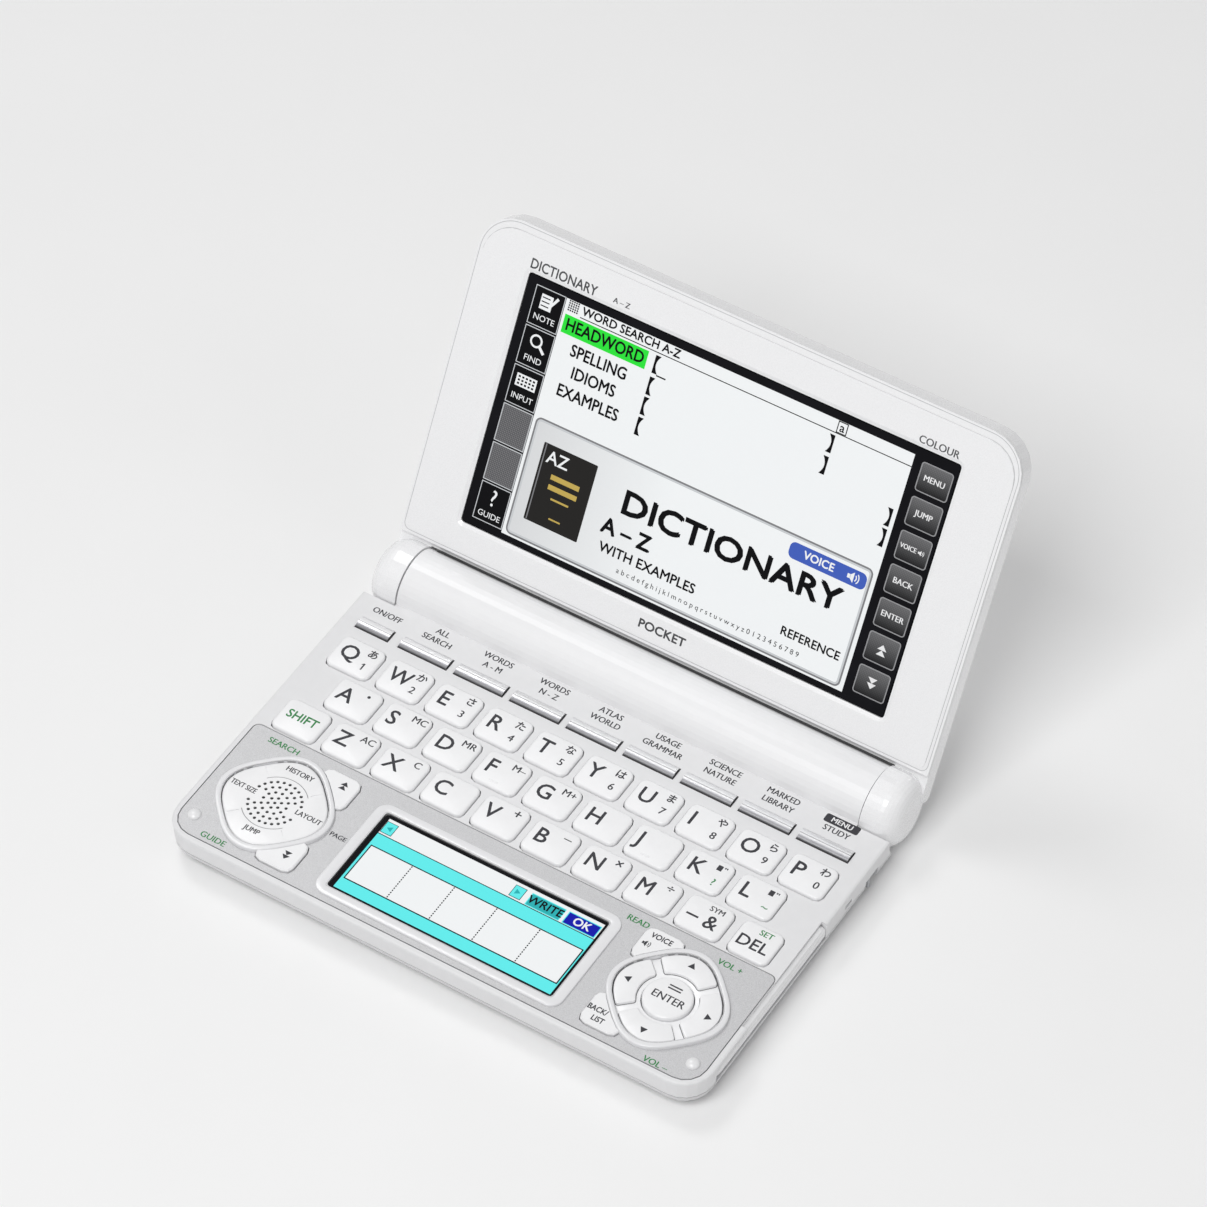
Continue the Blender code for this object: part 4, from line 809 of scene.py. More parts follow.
def buildDial():
    look = pads
    bm = bmesh.new()
    softBlock(bm, padPoints(look["radius"]), -look["skirt"], look["rise"], look["edge"], 5)
    plate = asObject("dialPad", bm, ["keyWhite"], padPlace(-1))
    holes = bmesh.new()
    holeShades = bmesh.new()
    spots = [(0.0, 0.0)]
    for ring, count in enumerate(look["holeCounts"], start=1):
        for i in range(count):
            angle = quarter + 4 * quarter * i / count
            x = ring * look["holePitch"] * math.cos(angle)
            y = ring * look["holePitch"] * math.sin(angle)
            if ring <= 2 or abs(y) >= 2.0:
                spots.append((x, y))
    for x, y in spots:
        slab(holes, ringPoints(x, y, look["holeRadius"], 14), look["rise"] - 0.6, 2.0)
        # Black plugs at the bottoms of the shallow holes paint the shade inside the grille holes
        slab(holeShades, ringPoints(x, y, look["holeRadius"] + 0.02, 14), look["rise"] - 0.65,
             look["rise"] - look["holeDepth"])
    for turn in range(4):        # short creases between the four labels
        angle = quarter * (turn + 0.5)
        along = Vector((math.cos(angle), math.sin(angle)))
        across = Vector((-along.y, along.x)) * 0.11
        ends = (along * 8.6 - across, along * 11.4 - across, along * 11.4 + across, along * 8.6 + across)
        slab(holes, [tuple(p) for p in ends], look["rise"] - 0.2, 2.0)
    for middle in (quarter, 3 * quarter):        # arc steps above and below the grille
        arc = arcPoints(0, 0, 8.0, middle - 0.84, middle + 0.84, 24)
        arc += arcPoints(0, 0, 7.78, middle + 0.84, middle - 0.84, 24)
        slab(holes, arc, look["rise"] - 0.18, 2.0)
    carve(plate, holes, "grilleCut")
    mount(plate, "dial_plate", "keys", "dial_plate")
    mount(asObject("grilleHolePaintedShade", holeShades, ["paintedShadeBlack"], padPlace(-1)), "dial_plate", "speaker")
    sheet = newSheet("dialPrint", "dial_plate", "keys", padPlace(-1))
    top = look["rise"]
    for middle in (quarter, 3 * quarter):        # painted shade at the feet of the two arc steps
        arc = arcPoints(0, 0, 7.97, middle - 0.83, middle + 0.83, 24)
        arc += arcPoints(0, 0, 7.81, middle + 0.83, middle - 0.83, 24)
        printShape(sheet, arc, "paintedStepShade", top - 0.08)
    for text, x, y, wide in (("HISTORY", 0.1, 10.4, 0.86), ("TEXT SIZE", -9.1, 0.4, 0.72),
                             ("LAYOUT", 9.2, 0.4, 0.86), ("JUMP", 0.0, -9.6, 0.86)):
        printText(sheet, text, x, y, 1.5, z=top, wide=wide, bold=smallBold)


def segmentOutline(turn):
    # One arrow segment: between the middle ring and the rim, with a channel each side
    look = pads
    outer = padPoints(look["radius"] - 0.15, 192)
    middle = quarter * turn
    inner = []
    for point in ringPoints(0, 0, look["segmentInner"], 96):
        inner.append(point)

    def inside(point):
        x = point[0] * math.cos(middle) + point[1] * math.sin(middle)
        y = -point[0] * math.sin(middle) + point[1] * math.cos(middle)
        return x * math.cos(quarter / 2) - abs(y) * math.sin(quarter / 2) > look["channel"], math.atan2(y, x)
    far = sorted((inside(p)[1], p) for p in outer if inside(p)[0] and abs(inside(p)[1]) < quarter)
    near = sorted(((inside(p)[1], p) for p in inner if inside(p)[0] and abs(inside(p)[1]) < quarter), reverse=True)
    return cornered([p for _, p in far]) + cornered([p for _, p in near])


def cornered(run):
    # Clears the points that stand too near a run's two ends for a fillet there
    clear = pads["segmentCorner"] * 1.45
    ends = (run[0], run[-1])
    kept = [p for p in run[1:-1] if min(math.dist(p, end) for end in ends) > clear]
    return [run[0]] + kept + [run[-1]]


def buildArrowPad():
    look = pads
    bm = bmesh.new()
    hoop(bm, padPoints(look["radius"]), ringPoints(0, 0, look["enterRadius"] + 0.25, 96),
         -look["skirt"], look["floor"], 0.1, 2)
    gapShade = bmesh.new()
    for turn in range(4):
        outline = filleted(segmentOutline(turn), look["segmentCorner"])
        # A grey rim round each segment's foot paints the shade in the gap around it
        slab(gapShade, inset(outline, -look["gapShadeWidth"]), look["floor"] - 0.1, look["floor"] + 0.03)
        softBlock(bm, outline, look["floor"] - 0.1, look["rise"] + 0.05, 0.26, 4)
    pad = asObject("arrowPad", bm, ["keyWhite"], padPlace(1))
    mount(pad, "cursor_pad", "keys", "cursor_pad")
    mount(asObject("arrowPadPaintedGapShade", gapShade, ["paintedGapShade"], padPlace(1)), "cursor_pad", "keys")
    sheet = newSheet("arrowPrint", "cursor_pad", "keys", padPlace(1))
    for turn in range(4):
        angle = quarter * turn
        printShape(sheet, triangle(10.9 * math.cos(angle), 10.9 * math.sin(angle), 1.9, turn),
                   z=look["rise"] + 0.05)
    bm = bmesh.new()
    softBlock(bm, ringPoints(0, 0, look["enterRadius"], 64), -look["skirt"], look["enterRise"], 0.6, 6)
    mount(asObject("enterButton", bm, ["keyWhite"], padPlace(1)), "enter_key", "keys", "enter_key")
    sheet = newSheet("enterPrint", "enter_key", "keys", padPlace(1))
    for y in (3.45, 2.6):
        printShape(sheet, bar(0.2, y, 3.4, 0.38), z=look["enterRise"])
    printText(sheet, "ENTER", 0.3, -0.4, 2.1, z=look["enterRise"], wide=0.96, bold=smallBold)
    print("round pads built")


def printCornerKeys():
    place = Matrix.Translation((0, padsY, deckTop))
    top = 0.8
    for body, x, y, way in (("page_up_key", -43.3, 12.85, 1), ("page_down_key", -43.1, -11.65, -1)):
        sheet = newSheet(f"cornerPrint_{body}", body, "keys", place)
        printDoubleArrow(sheet, x, y, 2.0, 2.4, way, "inkDark", top)
    sheet = newSheet("cornerPrint_voice_key", "voice_key", "keys", place)
    printSpeaker(sheet, 41.7, 10.7, 1.9, "inkDark", top)
    printText(sheet, "VOICE", 44.3, 13.6, 1.5, z=top, wide=0.9, bold=0.06)
    sheet = newSheet("cornerPrint_back_key", "back_key", "keys", place)
    printText(sheet, "BACK/", 42.5, -11.3, 1.5, z=top, wide=0.85, bold=0.06)
    printText(sheet, "LIST", 44.0, -13.8, 1.5, z=top, wide=0.85, bold=0.06)


def printDoubleArrow(sheet, x, y, width, height, way, ink, z):
    # Two arrow heads, one above the other, that point up for way 1 and down for way -1
    for low in (-height / 2, 0.0):
        base = y + (low if way > 0 else low + height / 2)
        points = [(x - width / 2, base), (x + width / 2, base), (x, base + way * height / 2)]
        printShape(sheet, points if way > 0 else points[::-1], ink, z)


def printSpeaker(sheet, x, y, size, ink, z):
    # Loudspeaker sign: a box, a cone and two arcs
    printShape(sheet, bar(x - 0.36 * size, y, 0.26 * size, 0.38 * size), ink, z)
    cone = [(x - 0.2 * size, y - 0.19 * size), (x + 0.12 * size, y - 0.48 * size),
            (x + 0.12 * size, y + 0.48 * size), (x - 0.2 * size, y + 0.19 * size)]
    printShape(sheet, cone, ink, z)
    for radius in (0.42, 0.66):
        arc = arcPoints(x, y, radius * size, -0.75, 0.75, 8)
        arc += arcPoints(x, y, (radius - 0.1) * size, 0.75, -0.75, 8)
        printShape(sheet, arc, ink, z)


# Panel trim: bezel of the writing display, nubs and printed labels

bezel = {"x": 0.5, "y": -77.4, "width": 67.7, "height": 30.6, "corner": 3.35, "windowWidth": 62.0,
         "windowHeight": 25.6, "rise": 0.54, "edge": 0.3, "slope": 0.22}
nubs = {"x": 68.7, "y": -88.8, "radius": 1.72, "rise": 1.06}


def buildPanelTrim():
    look = bezel
    place = deckFrame @ Matrix.Translation((look["x"] * mm, look["y"] * mm, 0))
    bm = bmesh.new()
    outer = boxPoints(-look["width"] / 2, look["width"] / 2, -look["height"] / 2, look["height"] / 2,
                      look["corner"], 8)
    inner = boxPoints(-look["windowWidth"] / 2, look["windowWidth"] / 2, -look["windowHeight"] / 2,
                      look["windowHeight"] / 2, 0.7, 8)
    hoop(bm, outer, inner, -0.3, look["rise"], look["edge"], 4, look["slope"])
    mount(asObject("subBezel", bm, ["rimWhite"], place), "base", "panel")
    for side, name in ((-1, "leftNub"), (1, "rightNub")):
        bm = bmesh.new()
        rings = [atHeight(ringPoints(0, 0, nubs["radius"], 32), -0.2)]
        for i in range(8):
            angle = quarter * i / 8
            rings.append(atHeight(ringPoints(0, 0, nubs["radius"] * math.cos(angle), 32),
                                  nubs["rise"] * math.sin(angle)))
        rings.append(atHeight(ringPoints(0, 0, 0.05, 32), nubs["rise"]))
        loft(bm, rings)
        spot = deckFrame @ Matrix.Translation((side * nubs["x"] * mm, nubs["y"] * mm, 0))
        mount(asObject(name, bm, ["nubWhite"], spot), "base", "panel")
    sheet = newSheet("panelPrint", "base", "panel", deckFrame)
    for text, x, y, ink in (("SEARCH", -62.6, -60.5, "inkGreen"), ("GUIDE", -60.8, -92.6, "inkGreen"),
                            ("READ", 36.6, -60.7, "inkGreen"), ("VOL +", 61.4, -60.7, "inkGreen"),
                            ("VOL –", 61.4, -93.3, "inkGreen")):
        printText(sheet, text, x, y, 1.65, ink, bold=smallBold)
    printText(sheet, "PAGE", -36.3, -76.6, 1.3, "inkDark", bold=smallBold)
    print("panel trim built")


deckLabels = {"upper": -10.9, "lower": -13.7, "height": 1.7,
              "words": (("ALL", "SEARCH"), ("WORDS", "A - M"), ("WORDS", "N - Z"), ("ATLAS", "WORLD"),
                        ("USAGE", "GRAMMAR"), ("SCIENCE", "NATURE"), ("MARKED", "LIBRARY"), ("MENU", "STUDY"))}


def printDeck():
    look = deckLabels
    sheet = newSheet("deckPrint", "base", "shell", deckFrame)
    printText(sheet, "ON/OFF", -64.6, -13.2, look["height"], wide=0.92, bold=smallBold)
    for i, (upper, lower) in enumerate(look["words"]):
        x = barKeys["first"] + i * barKeys["pitch"]
        if i == 7:        # the last one stands in a dark pill
            printShape(sheet, boxPoints(x - 4.6, x + 4.6, look["upper"] - 1.25, look["upper"] + 1.25, 0.5))
            printText(sheet, upper, x, look["upper"], 1.45, "inkWhite", z=0.02, bold=smallBold)
        else:
            printText(sheet, upper, x, look["upper"], look["height"], wide=0.92, bold=smallBold)
        printText(sheet, lower, x, look["lower"], look["height"], wide=0.92, bold=smallBold)


# Writing display: cyan field with four boxes, two small signs and two buttons

subPage = {"left": -29.5, "right": 30.2, "low": -12.0, "high": 11.7, "line": 6.75,
           "boxLow": -8.76, "boxHigh": 2.95, "boxLeft": -28.9, "boxRight": 29.9}


def buildSubPage():
    look = subPage
    place = deckFrame @ Matrix.Translation((bezel["x"] * mm, bezel["y"] * mm, 0.1 * mm))
    sheet = newSheet("subPicture", "base", "display", place)
    layers = [inkThickness * (k + 1) for k in range(6)]
    printShape(sheet, boxPoints(look["left"], look["right"], look["line"], look["high"]), "lcdWhite", 0.0)
    printShape(sheet, boxPoints(look["left"], look["right"], look["low"], look["line"]), "lcdCyan", 0.0)
    printShape(sheet, bar(0.35, look["line"], look["right"] - look["left"], 0.22), "lcdBlack", layers[0])
    edge = 0.32
    printShape(sheet, boxPoints(look["boxLeft"], look["boxRight"], look["boxLow"], look["boxHigh"]),
               "lcdBlack", layers[0])
    printShape(sheet, boxPoints(look["boxLeft"] + edge, look["boxRight"] - edge, look["boxLow"] + edge,
                                look["boxHigh"] - edge), "lcdWhite", layers[1])
    for x in (-17.1, -5.35, 6.4, 18.2):        # dashed dividers
        y = look["boxLow"] + 0.5
        while y < look["boxHigh"] - 0.5:
            printShape(sheet, boxPoints(x - 0.15, x + 0.15, y, y + 0.42), "lcdBlack", layers[2])
            y += 0.74
    for x, way in ((-27.9, 2), (7.9, 0)):        # previous and next
        printShape(sheet, bar(x, 9.1, 3.1, 3.6), "lcdBlack", layers[0])
        printShape(sheet, bar(x, 9.1, 2.8, 3.3), "lcdCyan", layers[1])
        printShape(sheet, triangle(x, 9.1, 1.6, way), "lcdTeal", layers[2])
    for left, right, ink, words in ((10.93, 20.3, "lcdTeal", "WRITE"), (21.1, 30.0, "lcdBlue", "OK")):
        printShape(sheet, boxPoints(left, right, 6.95, 10.8), "lcdCyan", layers[0])
        printShape(sheet, boxPoints(left + 0.25, right - 0.25, 7.2, 10.55), ink, layers[1])
        printText(sheet, words, (left + right) / 2, 8.9, 2.2, "lcdBlack" if words == "WRITE" else "lcdWhite",
                  z=layers[2], bold=0.08)
    print("writing display drawn")


# Main display, in the lid's frame: y is the distance up the lid

page = {"left": -56.7, "toolRight": -48.0, "right": 47.35, "low": 20.5, "high": 82.9, "glass": -2.5,
        "titleLine": 79.5, "cellPitch": 10.365, "cellTop": 82.8}
softKeys = {"left": 49.6, "right": 58.1, "top": 82.0, "height": 7.4, "pitch": 8.78, "corner": 0.8,
            "labels": ("MENU", "JUMP", "VOICE", "BACK", "ENTER", "up", "down")}


def toolCell(sheet, k, layers):
    look = page
    high = look["cellTop"] - k * look["cellPitch"]
    low = high - look["cellPitch"] + 0.45
    left = look["left"] + 0.2
    right = look["toolRight"] - 0.15
    fill = "lcdGrey" if k in (3, 4) else "lcdBlack"
    printShape(sheet, boxPoints(left, right, low, high), "lcdPale", layers[1])
    printShape(sheet, boxPoints(left + 0.22, right - 0.22, low + 0.22, high - 0.22), fill, layers[2])
    return (left + right) / 2, (low + high) / 2


def printToolbar(sheet, layers):
    z = layers[3]
    x, y = toolCell(sheet, 0, layers)        # note sign: a page, lines and a pencil
    printShape(sheet, bar(x - 0.5, y + 1.5, 3.2, 3.8), "lcdWhite", z)
    for k in range(3):
        printShape(sheet, bar(x - 0.7, y + 2.6 - k * 1.05, 2.2, 0.28), "lcdBlack", layers[4])
    printShape(sheet, [(x + 0.2, y + 0.5), (x + 0.7, y + 0.3), (x + 2.7, y + 3.4), (x + 2.1, y + 3.8)],
               "lcdWhite", layers[4])
    printText(sheet, "NOTE", x, y - 2.7, 1.55, "lcdWhite", z)
    x, y = toolCell(sheet, 1, layers)        # magnifier
    ring = ringPoints(x - 0.3, y + 1.9, 1.7, 20)
    printShape(sheet, ring, "lcdWhite", z)
    printShape(sheet, ringPoints(x - 0.3, y + 1.9, 1.2, 20), "lcdBlack", layers[4])
    printShape(sheet, [(x + 0.6, y + 0.6), (x + 2.1, y - 0.9), (x + 2.6, y - 0.4), (x + 1.1, y + 1.1)],
               "lcdWhite", z)
    printText(sheet, "FIND", x, y - 2.9, 1.55, "lcdWhite", z)
    x, y = toolCell(sheet, 2, layers)        # small keyboard
    printShape(sheet, bar(x, y + 1.5, 5.6, 3.2), "lcdWhite", z)
    for row in range(3):
        for k in range(5):
            printShape(sheet, bar(x - 2.0 + k, y + 2.4 - row * 0.9, 0.6, 0.5), "lcdBlack", layers[4])
    printText(sheet, "INPUT", x, y - 2.7, 1.5, "lcdWhite", z)
    for k in (3, 4):        # spare cells with a fine hatch
        x, y = toolCell(sheet, k, layers)
        for step in range(20):
            printShape(sheet, bar(x, y - 4.56 + step * 0.48, 7.7, 0.18), "lcdHatch", layers[3])
        for step in range(16):
            printShape(sheet, bar(x - 3.6 + step * 0.48, y, 0.18, 9.2), "lcdHatch", layers[3] + 0.001)
    x, y = toolCell(sheet, 5, layers)
    printText(sheet, "?", x, y + 1.4, 4.2, "lcdWhite", z)
    printText(sheet, "GUIDE", x, y - 3.0, 1.5, "lcdWhite", z)


def printList(sheet, layers):
    look = page
    z = layers[1]
    for step in range(25):        # small grid before the title
        printShape(sheet, bar(-46.9 + step % 5 * 0.6, 80.1 + step // 5 * 0.58, 0.4, 0.4), "lcdBlack", z)
    printText(sheet, "WORD SEARCH A-Z", -43.2, 81.2, 2.1, "lcdBlack", z, align="LEFT", bold=0.09)
    printShape(sheet, boxPoints(-43.4, look["right"], look["titleLine"] - 0.12, look["titleLine"] + 0.12),
               "lcdBlack", z)
    printShape(sheet, boxPoints(-47.3, -23.9, 74.2, 78.9), "lcdGreen", z)
    rows = (("HEADWORD", 76.5), ("SPELLING", 70.9), ("IDIOMS", 65.7), ("EXAMPLES", 60.4))
    for k, (text, y) in enumerate(rows):
        printText(sheet, text, -35.6, y, 3.0, "lcdBlack", layers[2], wide=0.87, bold=0.10)
        printBracket(sheet, -21.9, y, -1, z)
        printBracket(sheet, 27.2 if k < 2 else 46.3, y, 1, z)
    printShape(sheet, bar(28.3, 81.15, 2.7, 3.0), "lcdBlack", layers[2])
    printShape(sheet, bar(28.3, 81.15, 2.2, 2.5), "lcdWhite", layers[3])
    printText(sheet, "a", 28.3, 81.15, 2.2, "lcdBlack", layers[4], bold=0.05)
    printShape(sheet, bar(-19.2, 74.0, 2.6, 0.36), "lcdBlack", z)


def printBracket(sheet, x, y, side, z):
    # Solid bracket: straight outer side, curved inner side, thin in the middle
    high, reach, thin = 2.3, 1.5, 0.6
    points = [(x, y - high)]
    for i in range(9):
        t = i / 4 - 1
        points.append((x - side * (thin + (reach - thin) * t * t), y + high * t))
    points.append((x, y + high))
    printShape(sheet, points if side < 0 else points[::-1], "lcdBlack", z)


card = {"left": -47.2, "right": 46.3, "low": 21.0, "high": 52.1, "corner": 1.6}


def printCard(sheet, layers):
    look = card
    outline = boxPoints(look["left"], look["right"], look["low"], look["high"], look["corner"])
    printShape(sheet, outline, "lcdGrey", layers[1])
    printShape(sheet, inset(outline, 0.45), "lcdPale", layers[2])
    printShape(sheet, inset(outline, 0.95), "lcdCard", layers[3])
    printShape(sheet, boxPoints(-43.4, -28.3, 26.4, 46.8, 0.3), "lcdBook", layers[4])        # plain book
    for y, width, high in ((39.2, 8.0, 1.3), (36.6, 8.0, 1.3), (33.9, 5.0, 0.5), (29.0, 3.2, 0.4)):
        printShape(sheet, bar(-35.4, y, width, high), "lcdGold", layers[5])
    printShape(sheet, bar(-42.7, 36.6, 0.3, 20.0), "lcdGrey", layers[5])
    printText(sheet, "DICTIONARY", 10.2, 41.0, 5.9, "lcdBlack", layers[4], wide=1.19, bold=0.3)
    printText(sheet, "A – Z", -16.5, 33.6, 4.0, "lcdBlack", layers[4], wide=1.0, bold=0.2)
    printText(sheet, "WITH EXAMPLES", -9.0, 28.2, 2.5, "lcdBlack", layers[4], bold=0.09)
    printText(sheet, "a b c d e f g h i j k l m n o p q r s t u v w x y z 0 1 2 3 4 5 6 7 8 9", 9.0, 24.3, 1.35,
              "lcdBlack", layers[4], wide=1.0)
    printText(sheet, "AZ", -38.8, 43.6, 3.2, "lcdWhite", layers[5], bold=0.05)
    printText(sheet, "REFERENCE", 36.2, 28.3, 2.2, "lcdBlack", layers[4], bold=0.08)
    printShape(sheet, boxPoints(24.3, 45.2, 46.1, 50.3, 1.5), "lcdBadge", layers[4])
    printText(sheet, "VOICE", 32.4, 48.2, 2.0, "lcdWhite", layers[5], bold=0.08)
    printSpeaker(sheet, 41.5, 48.2, 2.8, "lcdWhite", layers[5])


def buildMainPage():
    look = page
    place = lidFrame @ Matrix.Translation((0, 0, look["glass"] * mm))
    sheet = newSheet("screenPicture", "lid", "display", place)
    layers = [inkThickness * k for k in range(8)]
    printShape(sheet, boxPoints(look["left"], look["right"], look["low"], look["high"]), "lcdBlack", layers[0])
    printShape(sheet, boxPoints(look["toolRight"], look["right"], look["low"], look["high"] - 0.2),
               "lcdWhite", layers[0] + 0.01)
    printToolbar(sheet, layers)
    printList(sheet, layers)
    printCard(sheet, layers)
    print("main display drawn")


lidPaintedGrooveShade = {"halfWidth": 74.0, "start": 9.5, "length": 96.0, "corner": 10.0, "footCorner": 1.8, "level": -2.35,
            "width": 0.16, "insets": ((0.55, 0.55, 0.6), (1.42, 2.22, 1.62))}


def buildLidPaintedGrooveShade():
    # Painted shade of two fine grooves round the front frame, as flat grey strips: one near its edge, one at the
    # foot of the raised face
    look = lidPaintedGrooveShade
    bm = bmesh.new()
    for side, top, foot in look["insets"]:
        half = look["halfWidth"] - side
        low, high = look["start"] + foot + 0.7, look["length"] - top
        outline = arcPoints(-half + look["footCorner"], low + look["footCorner"], look["footCorner"],
                            2 * quarter, 3 * quarter, 6)
        outline += arcPoints(half - look["footCorner"], low + look["footCorner"], look["footCorner"],
                             3 * quarter, 4 * quarter, 6)
        radius = look["corner"] - side
        outline += arcPoints(half - radius, high - radius, radius, 0, quarter, 16)
        outline += arcPoints(-half + radius, high - radius, radius, quarter, 2 * quarter, 16)
        hoop(bm, outline, inset(outline, look["width"]), look["level"] - 0.1, look["level"] + 0.03, 0.02, 1)
    mount(asObject("lidPaintedGrooveShade", bm, ["paintedGrooveShade"], lidFrame), "lid", "lid_shell")


lidMarks = {"row": 87.2, "face": -2.1, "ink": "inkLid"}


def printLidMarks():
    # Plain words where the front frame carries small print
    sheet = newSheet("lidPrint", "lid", "lid_shell", lidFrame)
    for text, x, y, size, wide, align, bold in (
            ("DICTIONARY", -59.4, lidMarks["row"], 2.5, 0.86, "LEFT", 0.06),
            ("A – Z", -33.9, lidMarks["row"], 1.35, 1.0, "CENTER", smallBold),
            ("COLOUR", 52.6, lidMarks["row"] - 0.3, 1.9, 0.95, "CENTER", smallBold),
            ("POCKET", -0.5, 14.6, 2.2, 1.1, "CENTER", 0.1)):
        printText(sheet, text, x, y, size, lidMarks["ink"], lidMarks["face"], wide, align, bold)


def buildSoftKeys():
    look = softKeys
    place = lidFrame @ Matrix.Translation((0, 0, page["glass"] * mm))
    bm = bmesh.new()
    for k in range(len(look["labels"])):
        high = look["top"] - k * look["pitch"]
        outline = boxPoints(look["left"], look["right"], high - look["height"], high, look["corner"])
        slab(bm, outline, -0.004, 0.02, 1)
        slab(bm, inset(outline, 0.28), 0.0, 0.04, 0)
    piece = asObject("softKeyPanel", bm, ["softKeyGrey", "inkEdge"], place)
    mount(piece, "lid", "display")
    sheet = newSheet("softKeyPrint", "lid", "display", place)
    x = (look["left"] + look["right"]) / 2
    for k, label in enumerate(look["labels"]):
        y = look["top"] - k * look["pitch"] - look["height"] / 2
        if label in ("up", "down"):
            printDoubleArrow(sheet, x, y, 2.4, 2.8, 1 if label == "up" else -1, "inkWhite", 0.04)
        elif label == "VOICE":
            printText(sheet, label, x - 1.3, y, 1.25, "inkWhite", 0.04, wide=0.85, bold=smallBold)
            printSpeaker(sheet, x + 2.0, y, 1.4, "inkWhite", 0.04)
        else:
            printText(sheet, label, x, y, 1.5, "inkWhite", 0.04, wide=0.95, bold=smallBold)


# Painted shade: a black strip in the gap between the barrel and the lid's lower edge

hingePaintedGapShade = {"left": -62.8, "right": 64.9, "inner": 9.05, "outer": 9.48, "start": -13.5, "stop": -60}


def buildHingePaintedGapShade():
    look = hingePaintedGapShade
    start, stop = math.radians(look["start"]), math.radians(look["stop"])
    outline = arcPoints(0, 0, look["outer"], start, stop, 12) + arcPoints(0, 0, look["inner"], stop, start, 12)
    bm = bmesh.new()
    loft(bm, [[(x, y, z) for y, z in outline] for x in (look["left"], look["right"])])
    mount(asObject("hingePaintedGapShade", bm, ["paintedShadeBlack"], lidFrame), "lid", "lid_shell")


# Underside and rear: screws, strap post and grip ribs

screwLook = {"radius": 1.5, "depth": 0.25, "slot": (1.7, 0.42, 0.18), "places": ((-49, -86), (49, -86), (0, -86),
             (-62, -22), (62, -22))}


def buildUnderside():
    look = screwLook
    for k, (x, y) in enumerate(look["places"]):
        bm = bmesh.new()
        softBlock(bm, ringPoints(0, 0, look["radius"], 28), -0.4, look["depth"], 0.12, 3)
        spot = Matrix.Translation((x * mm, hingeY + y * mm, 1.5 * mm)) @ Matrix.Rotation(math.pi, 4, "X")
        screw = asObject(f"caseScrew_{k + 1}", bm, ["screwSteel"], spot)
        long, wide, deep = look["slot"]
        cutter = bmesh.new()
        cross = [(-wide, -long), (wide, -long), (wide, -wide), (long, -wide), (long, wide), (wide, wide),
                 (wide, long), (-wide, long), (-wide, wide), (-long, wide), (-long, -wide), (-wide, -wide)]
        slab(cutter, [(px / 2, py / 2) for px, py in cross], look["depth"] - deep, 1.0)
        carve(screw, cutter, "crossCut")
        mount(screw, "base", "pin")
    bm = bmesh.new()
    for k in range(6):        # grip ribs on the battery cover's lip
        slab(bm, boxPoints(-9, 9, -7.6 + k * 0.9, -7.2 + k * 0.9, 0.19, 3), -0.14, 0.1)
    place = Matrix.Translation((0, hingeY, 1.5 * mm))
    mount(asObject("coverRibs", bm, ["caseWhite"], place), "battery_cover", "shell")
    bm = bmesh.new()
    slab(bm, ringPoints(72.6, -17.3, 0.55, 16), -9.0, -3.6)        # post in the strap recess
    mount(asObject("strapPost", bm, ["pinSteel"], deckFrame), "base", "shell")
    print("underside built")


# Finishes of the solids that stay

nodeFinishes = {
    "upper_case": "upperCaseWhite", "lower_case": "lowerCaseWhiteWithPaintedShade", "battery_cover": "caseWhite",
    "lid_back_cover": "lidPearl", "lid_front_frame": "lidPearl", "control_panel": "panelSilver",
    "stylus": "stylusWhite", "sub_display": "glassBlack", "main_display": "glassBlack",
    "battery_left": "cellJacket", "battery_right": "cellJacket", "main_board": "boardGreen",
    "key_sheet": "sheetGrey", "speaker": "speakerMetal", "hinge_pin": "pinSteel",
    "page_up_key": "keyWhite", "page_down_key": "keyWhite", "voice_key": "keyWhite", "back_key": "keyWhite",
}


def finishNodes():
    for name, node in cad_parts.items():
        wanted = finishes[nodeFinishes.get(name, "keyWhite")]
        if not node.material_slots:
            node.data.materials.append(wanted)
        for holder in node.material_slots:
            holder.material = wanted


# Room: floor, lamps, sky and camera

room = {"floor": (0.93, 0.93, 0.93), "floorSize": 4.0, "sky": 0.34,
        "lamps": (((-0.8, 0.45, 1.45), 0.5, 4.5), ((0.0, -0.95, 1.5), 0.9, 16.0), ((1.2, 0.1, 1.0), 1.0, 1.5))}
cameraLook = {"place": (0.48046891, -0.74833498, 1.07424343), "lens": 174.505,
              "right": (0.84584411, 0.53340251, -0.00543132), "up": (-0.39788925, 0.63766991, 0.65959172),
              "back": (0.35529127, -0.55575071, 0.75160446)}


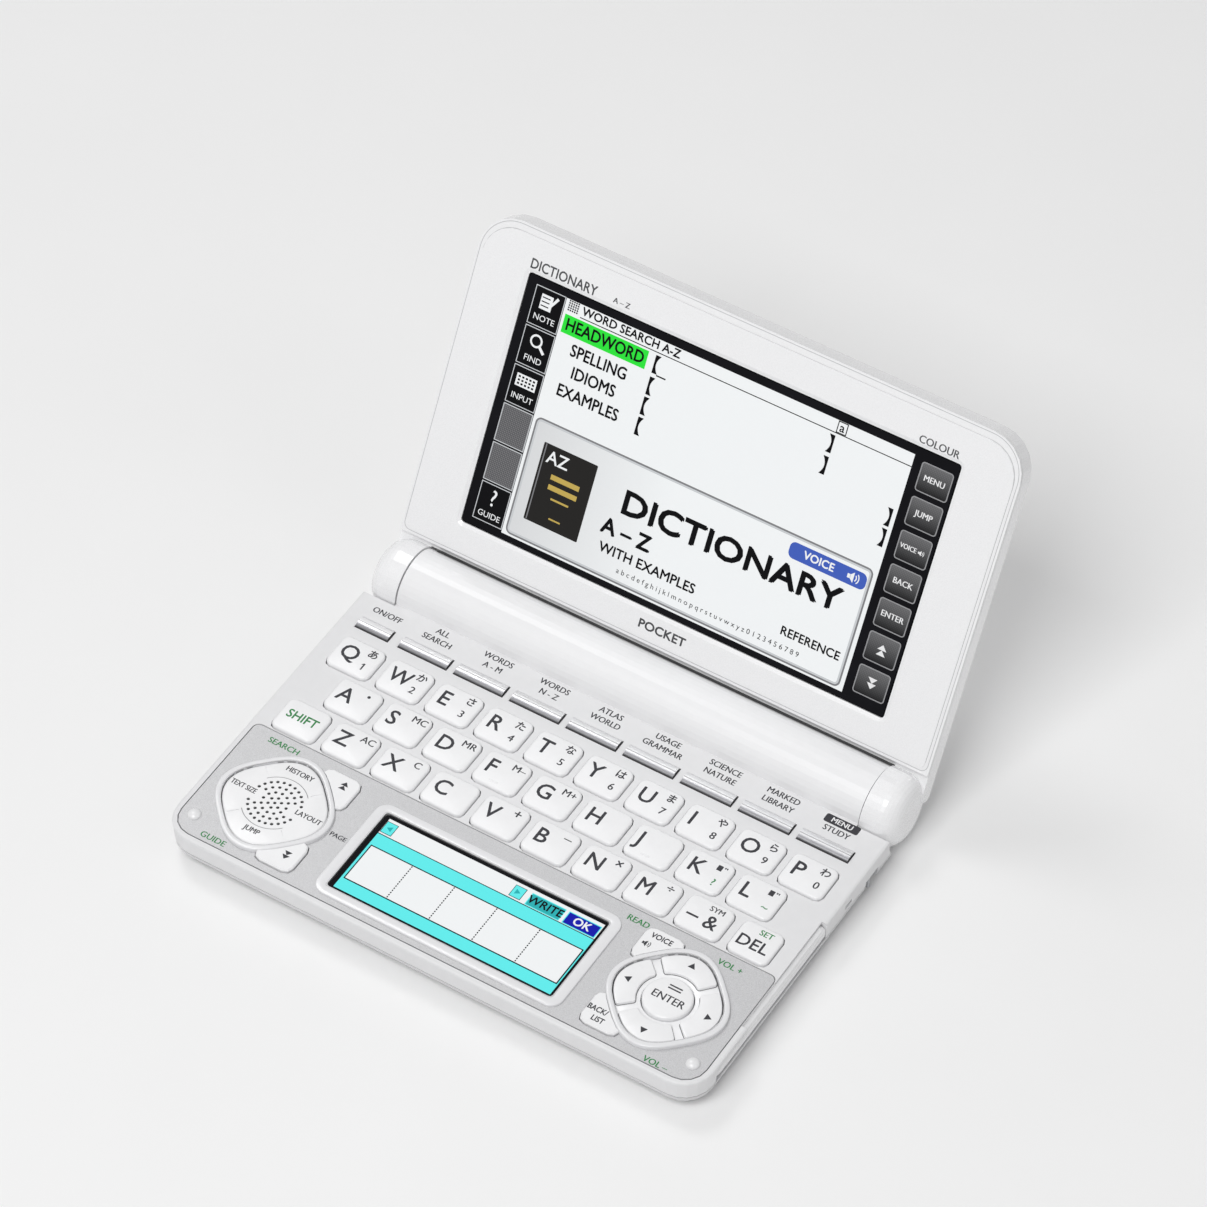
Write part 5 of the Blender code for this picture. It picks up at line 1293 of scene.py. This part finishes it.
def buildRoom():
    made, tree, shader = newFinish("floorPale", room["floor"], 0.85)
    varyColour(tree, shader, grain(tree, 60, 3), room["floor"], 0.006)
    addRelief(tree, shader, grain(tree, 1.5, 3), 0.02, 0.2)
    finishes["floorPale"] = made
    bm = bmesh.new()
    half = room["floorSize"] / 2 / mm
    slab(bm, boxPoints(-half, half, -half, half), -2.0, -0.02)
    floor = asObject("floor", bm, ["floorPale"])
    sky = bpy.data.worlds.new("studioSky")
    sky.use_nodes = True
    bpy.context.scene.world = sky
    tree = sky.node_tree
    soft = tree.nodes["Background"]
    soft.inputs["Color"].default_value = (1, 1, 1, 1)
    soft.inputs["Strength"].default_value = room["sky"]
    plain = addNode(tree, "ShaderNodeBackground")
    plain.inputs["Color"].default_value = (0.9, 0.9, 0.9, 1)
    plain.inputs["Strength"].default_value = 1.0
    path = addNode(tree, "ShaderNodeLightPath")
    seen = addNode(tree, "ShaderNodeMath", operation="MAXIMUM")
    either = addNode(tree, "ShaderNodeMath", operation="MAXIMUM")
    mix = addNode(tree, "ShaderNodeMixShader")
    tree.links.new(path.outputs["Is Camera Ray"], seen.inputs[0])
    tree.links.new(path.outputs["Is Glossy Ray"], seen.inputs[1])
    tree.links.new(seen.outputs["Value"], either.inputs[0])
    tree.links.new(path.outputs["Is Transmission Ray"], either.inputs[1])
    tree.links.new(either.outputs["Value"], mix.inputs["Fac"])
    tree.links.new(soft.outputs["Background"], mix.inputs[1])
    tree.links.new(plain.outputs["Background"], mix.inputs[2])
    tree.links.new(mix.outputs["Shader"], tree.nodes["World Output"].inputs["Surface"])
    for k, (spot, size, power) in enumerate(room["lamps"]):
        lamp = bpy.data.lights.new(f"softbox_{k + 1}", "AREA")
        lamp.shape = "SQUARE"
        lamp.size = size
        lamp.energy = power
        carrier = bpy.data.objects.new(lamp.name, lamp)
        carrier.location = spot
        carrier.rotation_mode = "QUATERNION"
        carrier.rotation_quaternion = (Vector((0, 0, 0.02)) - Vector(spot)).to_track_quat("-Z", "Y")
        bpy.context.scene.collection.objects.link(carrier)


def buildCamera():
    lens = bpy.data.cameras.new("photoCamera")
    lens.sensor_width = 36.0
    lens.lens = cameraLook["lens"]
    lens.clip_start = 0.05
    lens.clip_end = 20.0
    camera = bpy.data.objects.new("photoCamera", lens)
    turn = Matrix((cameraLook["right"], cameraLook["up"], cameraLook["back"])).transposed().to_4x4()
    camera.matrix_world = Matrix.Translation(cameraLook["place"]) @ turn
    bpy.context.scene.collection.objects.link(camera)
    bpy.context.scene.camera = camera
    bpy.context.scene.view_settings.view_transform = "Standard"


makePlastics()
makeLidPearl()
makePanelSilver()
makeMetals()
makeBarChromePaintedReflection()
makeUpperCase()
makeLowerCase()
makeGlassBlack()
makeBoard()
makeCell()
makeGlows()
makeCardFinish()
makeSoftKeyFinish()
finishNodes()
print("finishes ready:", len(finishes))
buildCamera()
buildRoom()
buildLetterKeys()
buildBarKeys()
buildRims()
buildDial()
buildArrowPad()
printCornerKeys()
buildPanelTrim()
printDeck()
buildSubPage()
buildMainPage()
buildLidPaintedGrooveShade()
printLidMarks()
buildSoftKeys()
buildHingePaintedGapShade()
buildUnderside()
flushPrints()
